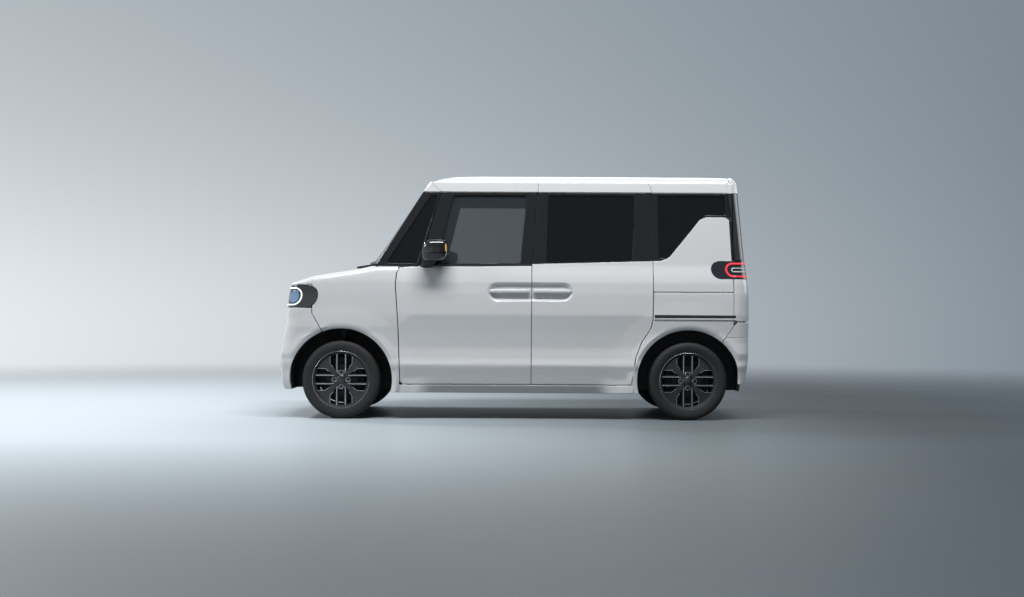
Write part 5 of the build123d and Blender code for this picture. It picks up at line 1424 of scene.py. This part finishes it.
def backdrop(world):
    """A dim even light for the car; seen directly, a glow low on the left that darkens upwards and to
    the right."""
    world.use_nodes = True
    tree = world.node_tree
    light, glow = tree.nodes["Background"], tree.nodes.new("ShaderNodeBackground")
    feed(tree, light.inputs["Color"], (0.80, 0.87, 0.92))
    feed(tree, light.inputs["Strength"], 0.11)
    x, _, z = split(tree, tree.nodes.new("ShaderNodeTexCoord"), "Generated")
    across = calc(tree, "MULTIPLY_ADD", x, -1.15, 0.5)
    height = calc(tree, "ABSOLUTE", calc(tree, "ADD", z, 0.015))
    square = calc(tree, "MULTIPLY", height, height)
    fall = calc(tree, "DIVIDE", 1.0, calc(tree, "MULTIPLY_ADD", square, 55.0, 1.0))
    share = calc(tree, "MULTIPLY", across, calc(tree, "MULTIPLY_ADD", fall, 0.75, 0.25))
    feed(tree, glow.inputs["Color"], mix(tree, share, (0.17, 0.215, 0.255), (0.86, 0.90, 0.93)))
    show(tree, seen_rays(tree), light, glow, "World Output")


class WAGON_OT_studio(bpy.types.Operator):
    """Pale floor, soft lamps, plain backdrop and the camera"""
    bl_idname = "wagon.studio"
    bl_label = "Studio"

    def execute(self, context):
        look, scene = context.scene.wagon_studio, context.scene
        u = np.linspace(-30000, 30000, 40)
        grid = xyz(*np.meshgrid(u, u, indexing="ij"), 0.0)
        floor = solid("studio_floor", grid.reshape(-1, 3), quads(grid)[1])
        material = finish("studio_floor", tuple(look.floor_colour), 0.04, 0.6, (0.34, 0.42),
                          zones=floor_zones(look), Specular_IOR_Level=0.04)
        floor.data.materials.append(material)
        # far from the car the floor gives way to the backdrop, so no horizon shows
        tree = material.node_tree
        length = tree.nodes.new("ShaderNodeVectorMath")
        length.operation = "LENGTH"
        feed(tree, length.inputs[0], tree.nodes.new("ShaderNodeTexCoord").outputs["Object"])
        fade = map_range(tree, length.outputs["Value"], (3.2, 13.0), kind="SMOOTHSTEP")
        clear = tree.nodes.new("ShaderNodeBsdfTransparent")
        show(tree, fade, tree.nodes["Principled BSDF"], clear, "Material Output")
        scene.world = bpy.data.worlds.new("studio")
        backdrop(scene.world)
        for name, spot, aim, size, power in LAMPS:
            data = bpy.data.lights.new(name, "AREA")
            data.shape, data.size, data.size_y, data.energy = "RECTANGLE", size[0], size[1], power
            lamp = linked(name, data)
            lamp.location = spot
            lamp.rotation_euler = (Vector(aim) - Vector(spot)).to_track_quat("-Z", "Y").to_euler()
        data = bpy.data.cameras.new("camera")
        data.lens, data.sensor_width, data.shift_y = look.camera_lens, 36.0, 0.0177
        camera = linked("camera", data)
        camera.location = (-0.009, -look.camera_distance, look.camera_height)
        camera.rotation_euler = (math.pi / 2, look.camera_roll, 0)
        scene.camera = camera
        scene.view_settings.view_transform = "Standard"
        return {"FINISHED"}


OPERATORS = (WAGON_OT_cad_finishes, WAGON_OT_front_fenders, WAGON_OT_front_doors, WAGON_OT_sliding_doors,
             WAGON_OT_side_frames, WAGON_OT_front_clip, WAGON_OT_bonnet, WAGON_OT_roof, WAGON_OT_tail,
             WAGON_OT_lamps, WAGON_OT_mirrors, WAGON_OT_trim, WAGON_OT_wheels, WAGON_OT_seats,
             WAGON_OT_steering_wheel, WAGON_OT_studio)


class WAGON_PT_panel(bpy.types.Panel):
    """Lists the wagon's pieces in the sidebar"""
    bl_idname = "WAGON_PT_panel"
    bl_label = "Kei Wagon"
    bl_space_type = "VIEW_3D"
    bl_region_type = "UI"
    bl_category = "Kei Wagon"

    def draw(self, context):
        for group in (context.scene.wagon_finish, context.scene.wagon_studio, context.scene.wagon_tyres):
            for key in group.__annotations__:
                self.layout.prop(group, key)
        for operator in OPERATORS:
            self.layout.operator(operator.bl_idname)


CLASSES = (WagonFinish, WagonStudio, WagonTyres, *OPERATORS, WAGON_PT_panel)


def register():
    """Registers every class and gives the scene its settings."""
    for cls in CLASSES:
        bpy.utils.register_class(cls)
    bpy.types.Scene.wagon_finish = PointerProperty(type=WagonFinish)
    bpy.types.Scene.wagon_studio = PointerProperty(type=WagonStudio)
    bpy.types.Scene.wagon_tyres = PointerProperty(type=WagonTyres)


def unregister():
    """Takes the settings and the classes away again."""
    for name in ("wagon_finish", "wagon_studio", "wagon_tyres"):
        delattr(bpy.types.Scene, name)
    for cls in reversed(CLASSES):
        bpy.utils.unregister_class(cls)


def main():
    """Builds every piece in order."""
    register()
    for operator in OPERATORS:
        prefix, name = operator.bl_idname.split(".")
        getattr(getattr(bpy.ops, prefix), name)()


if __name__ == "__main__":
    main()
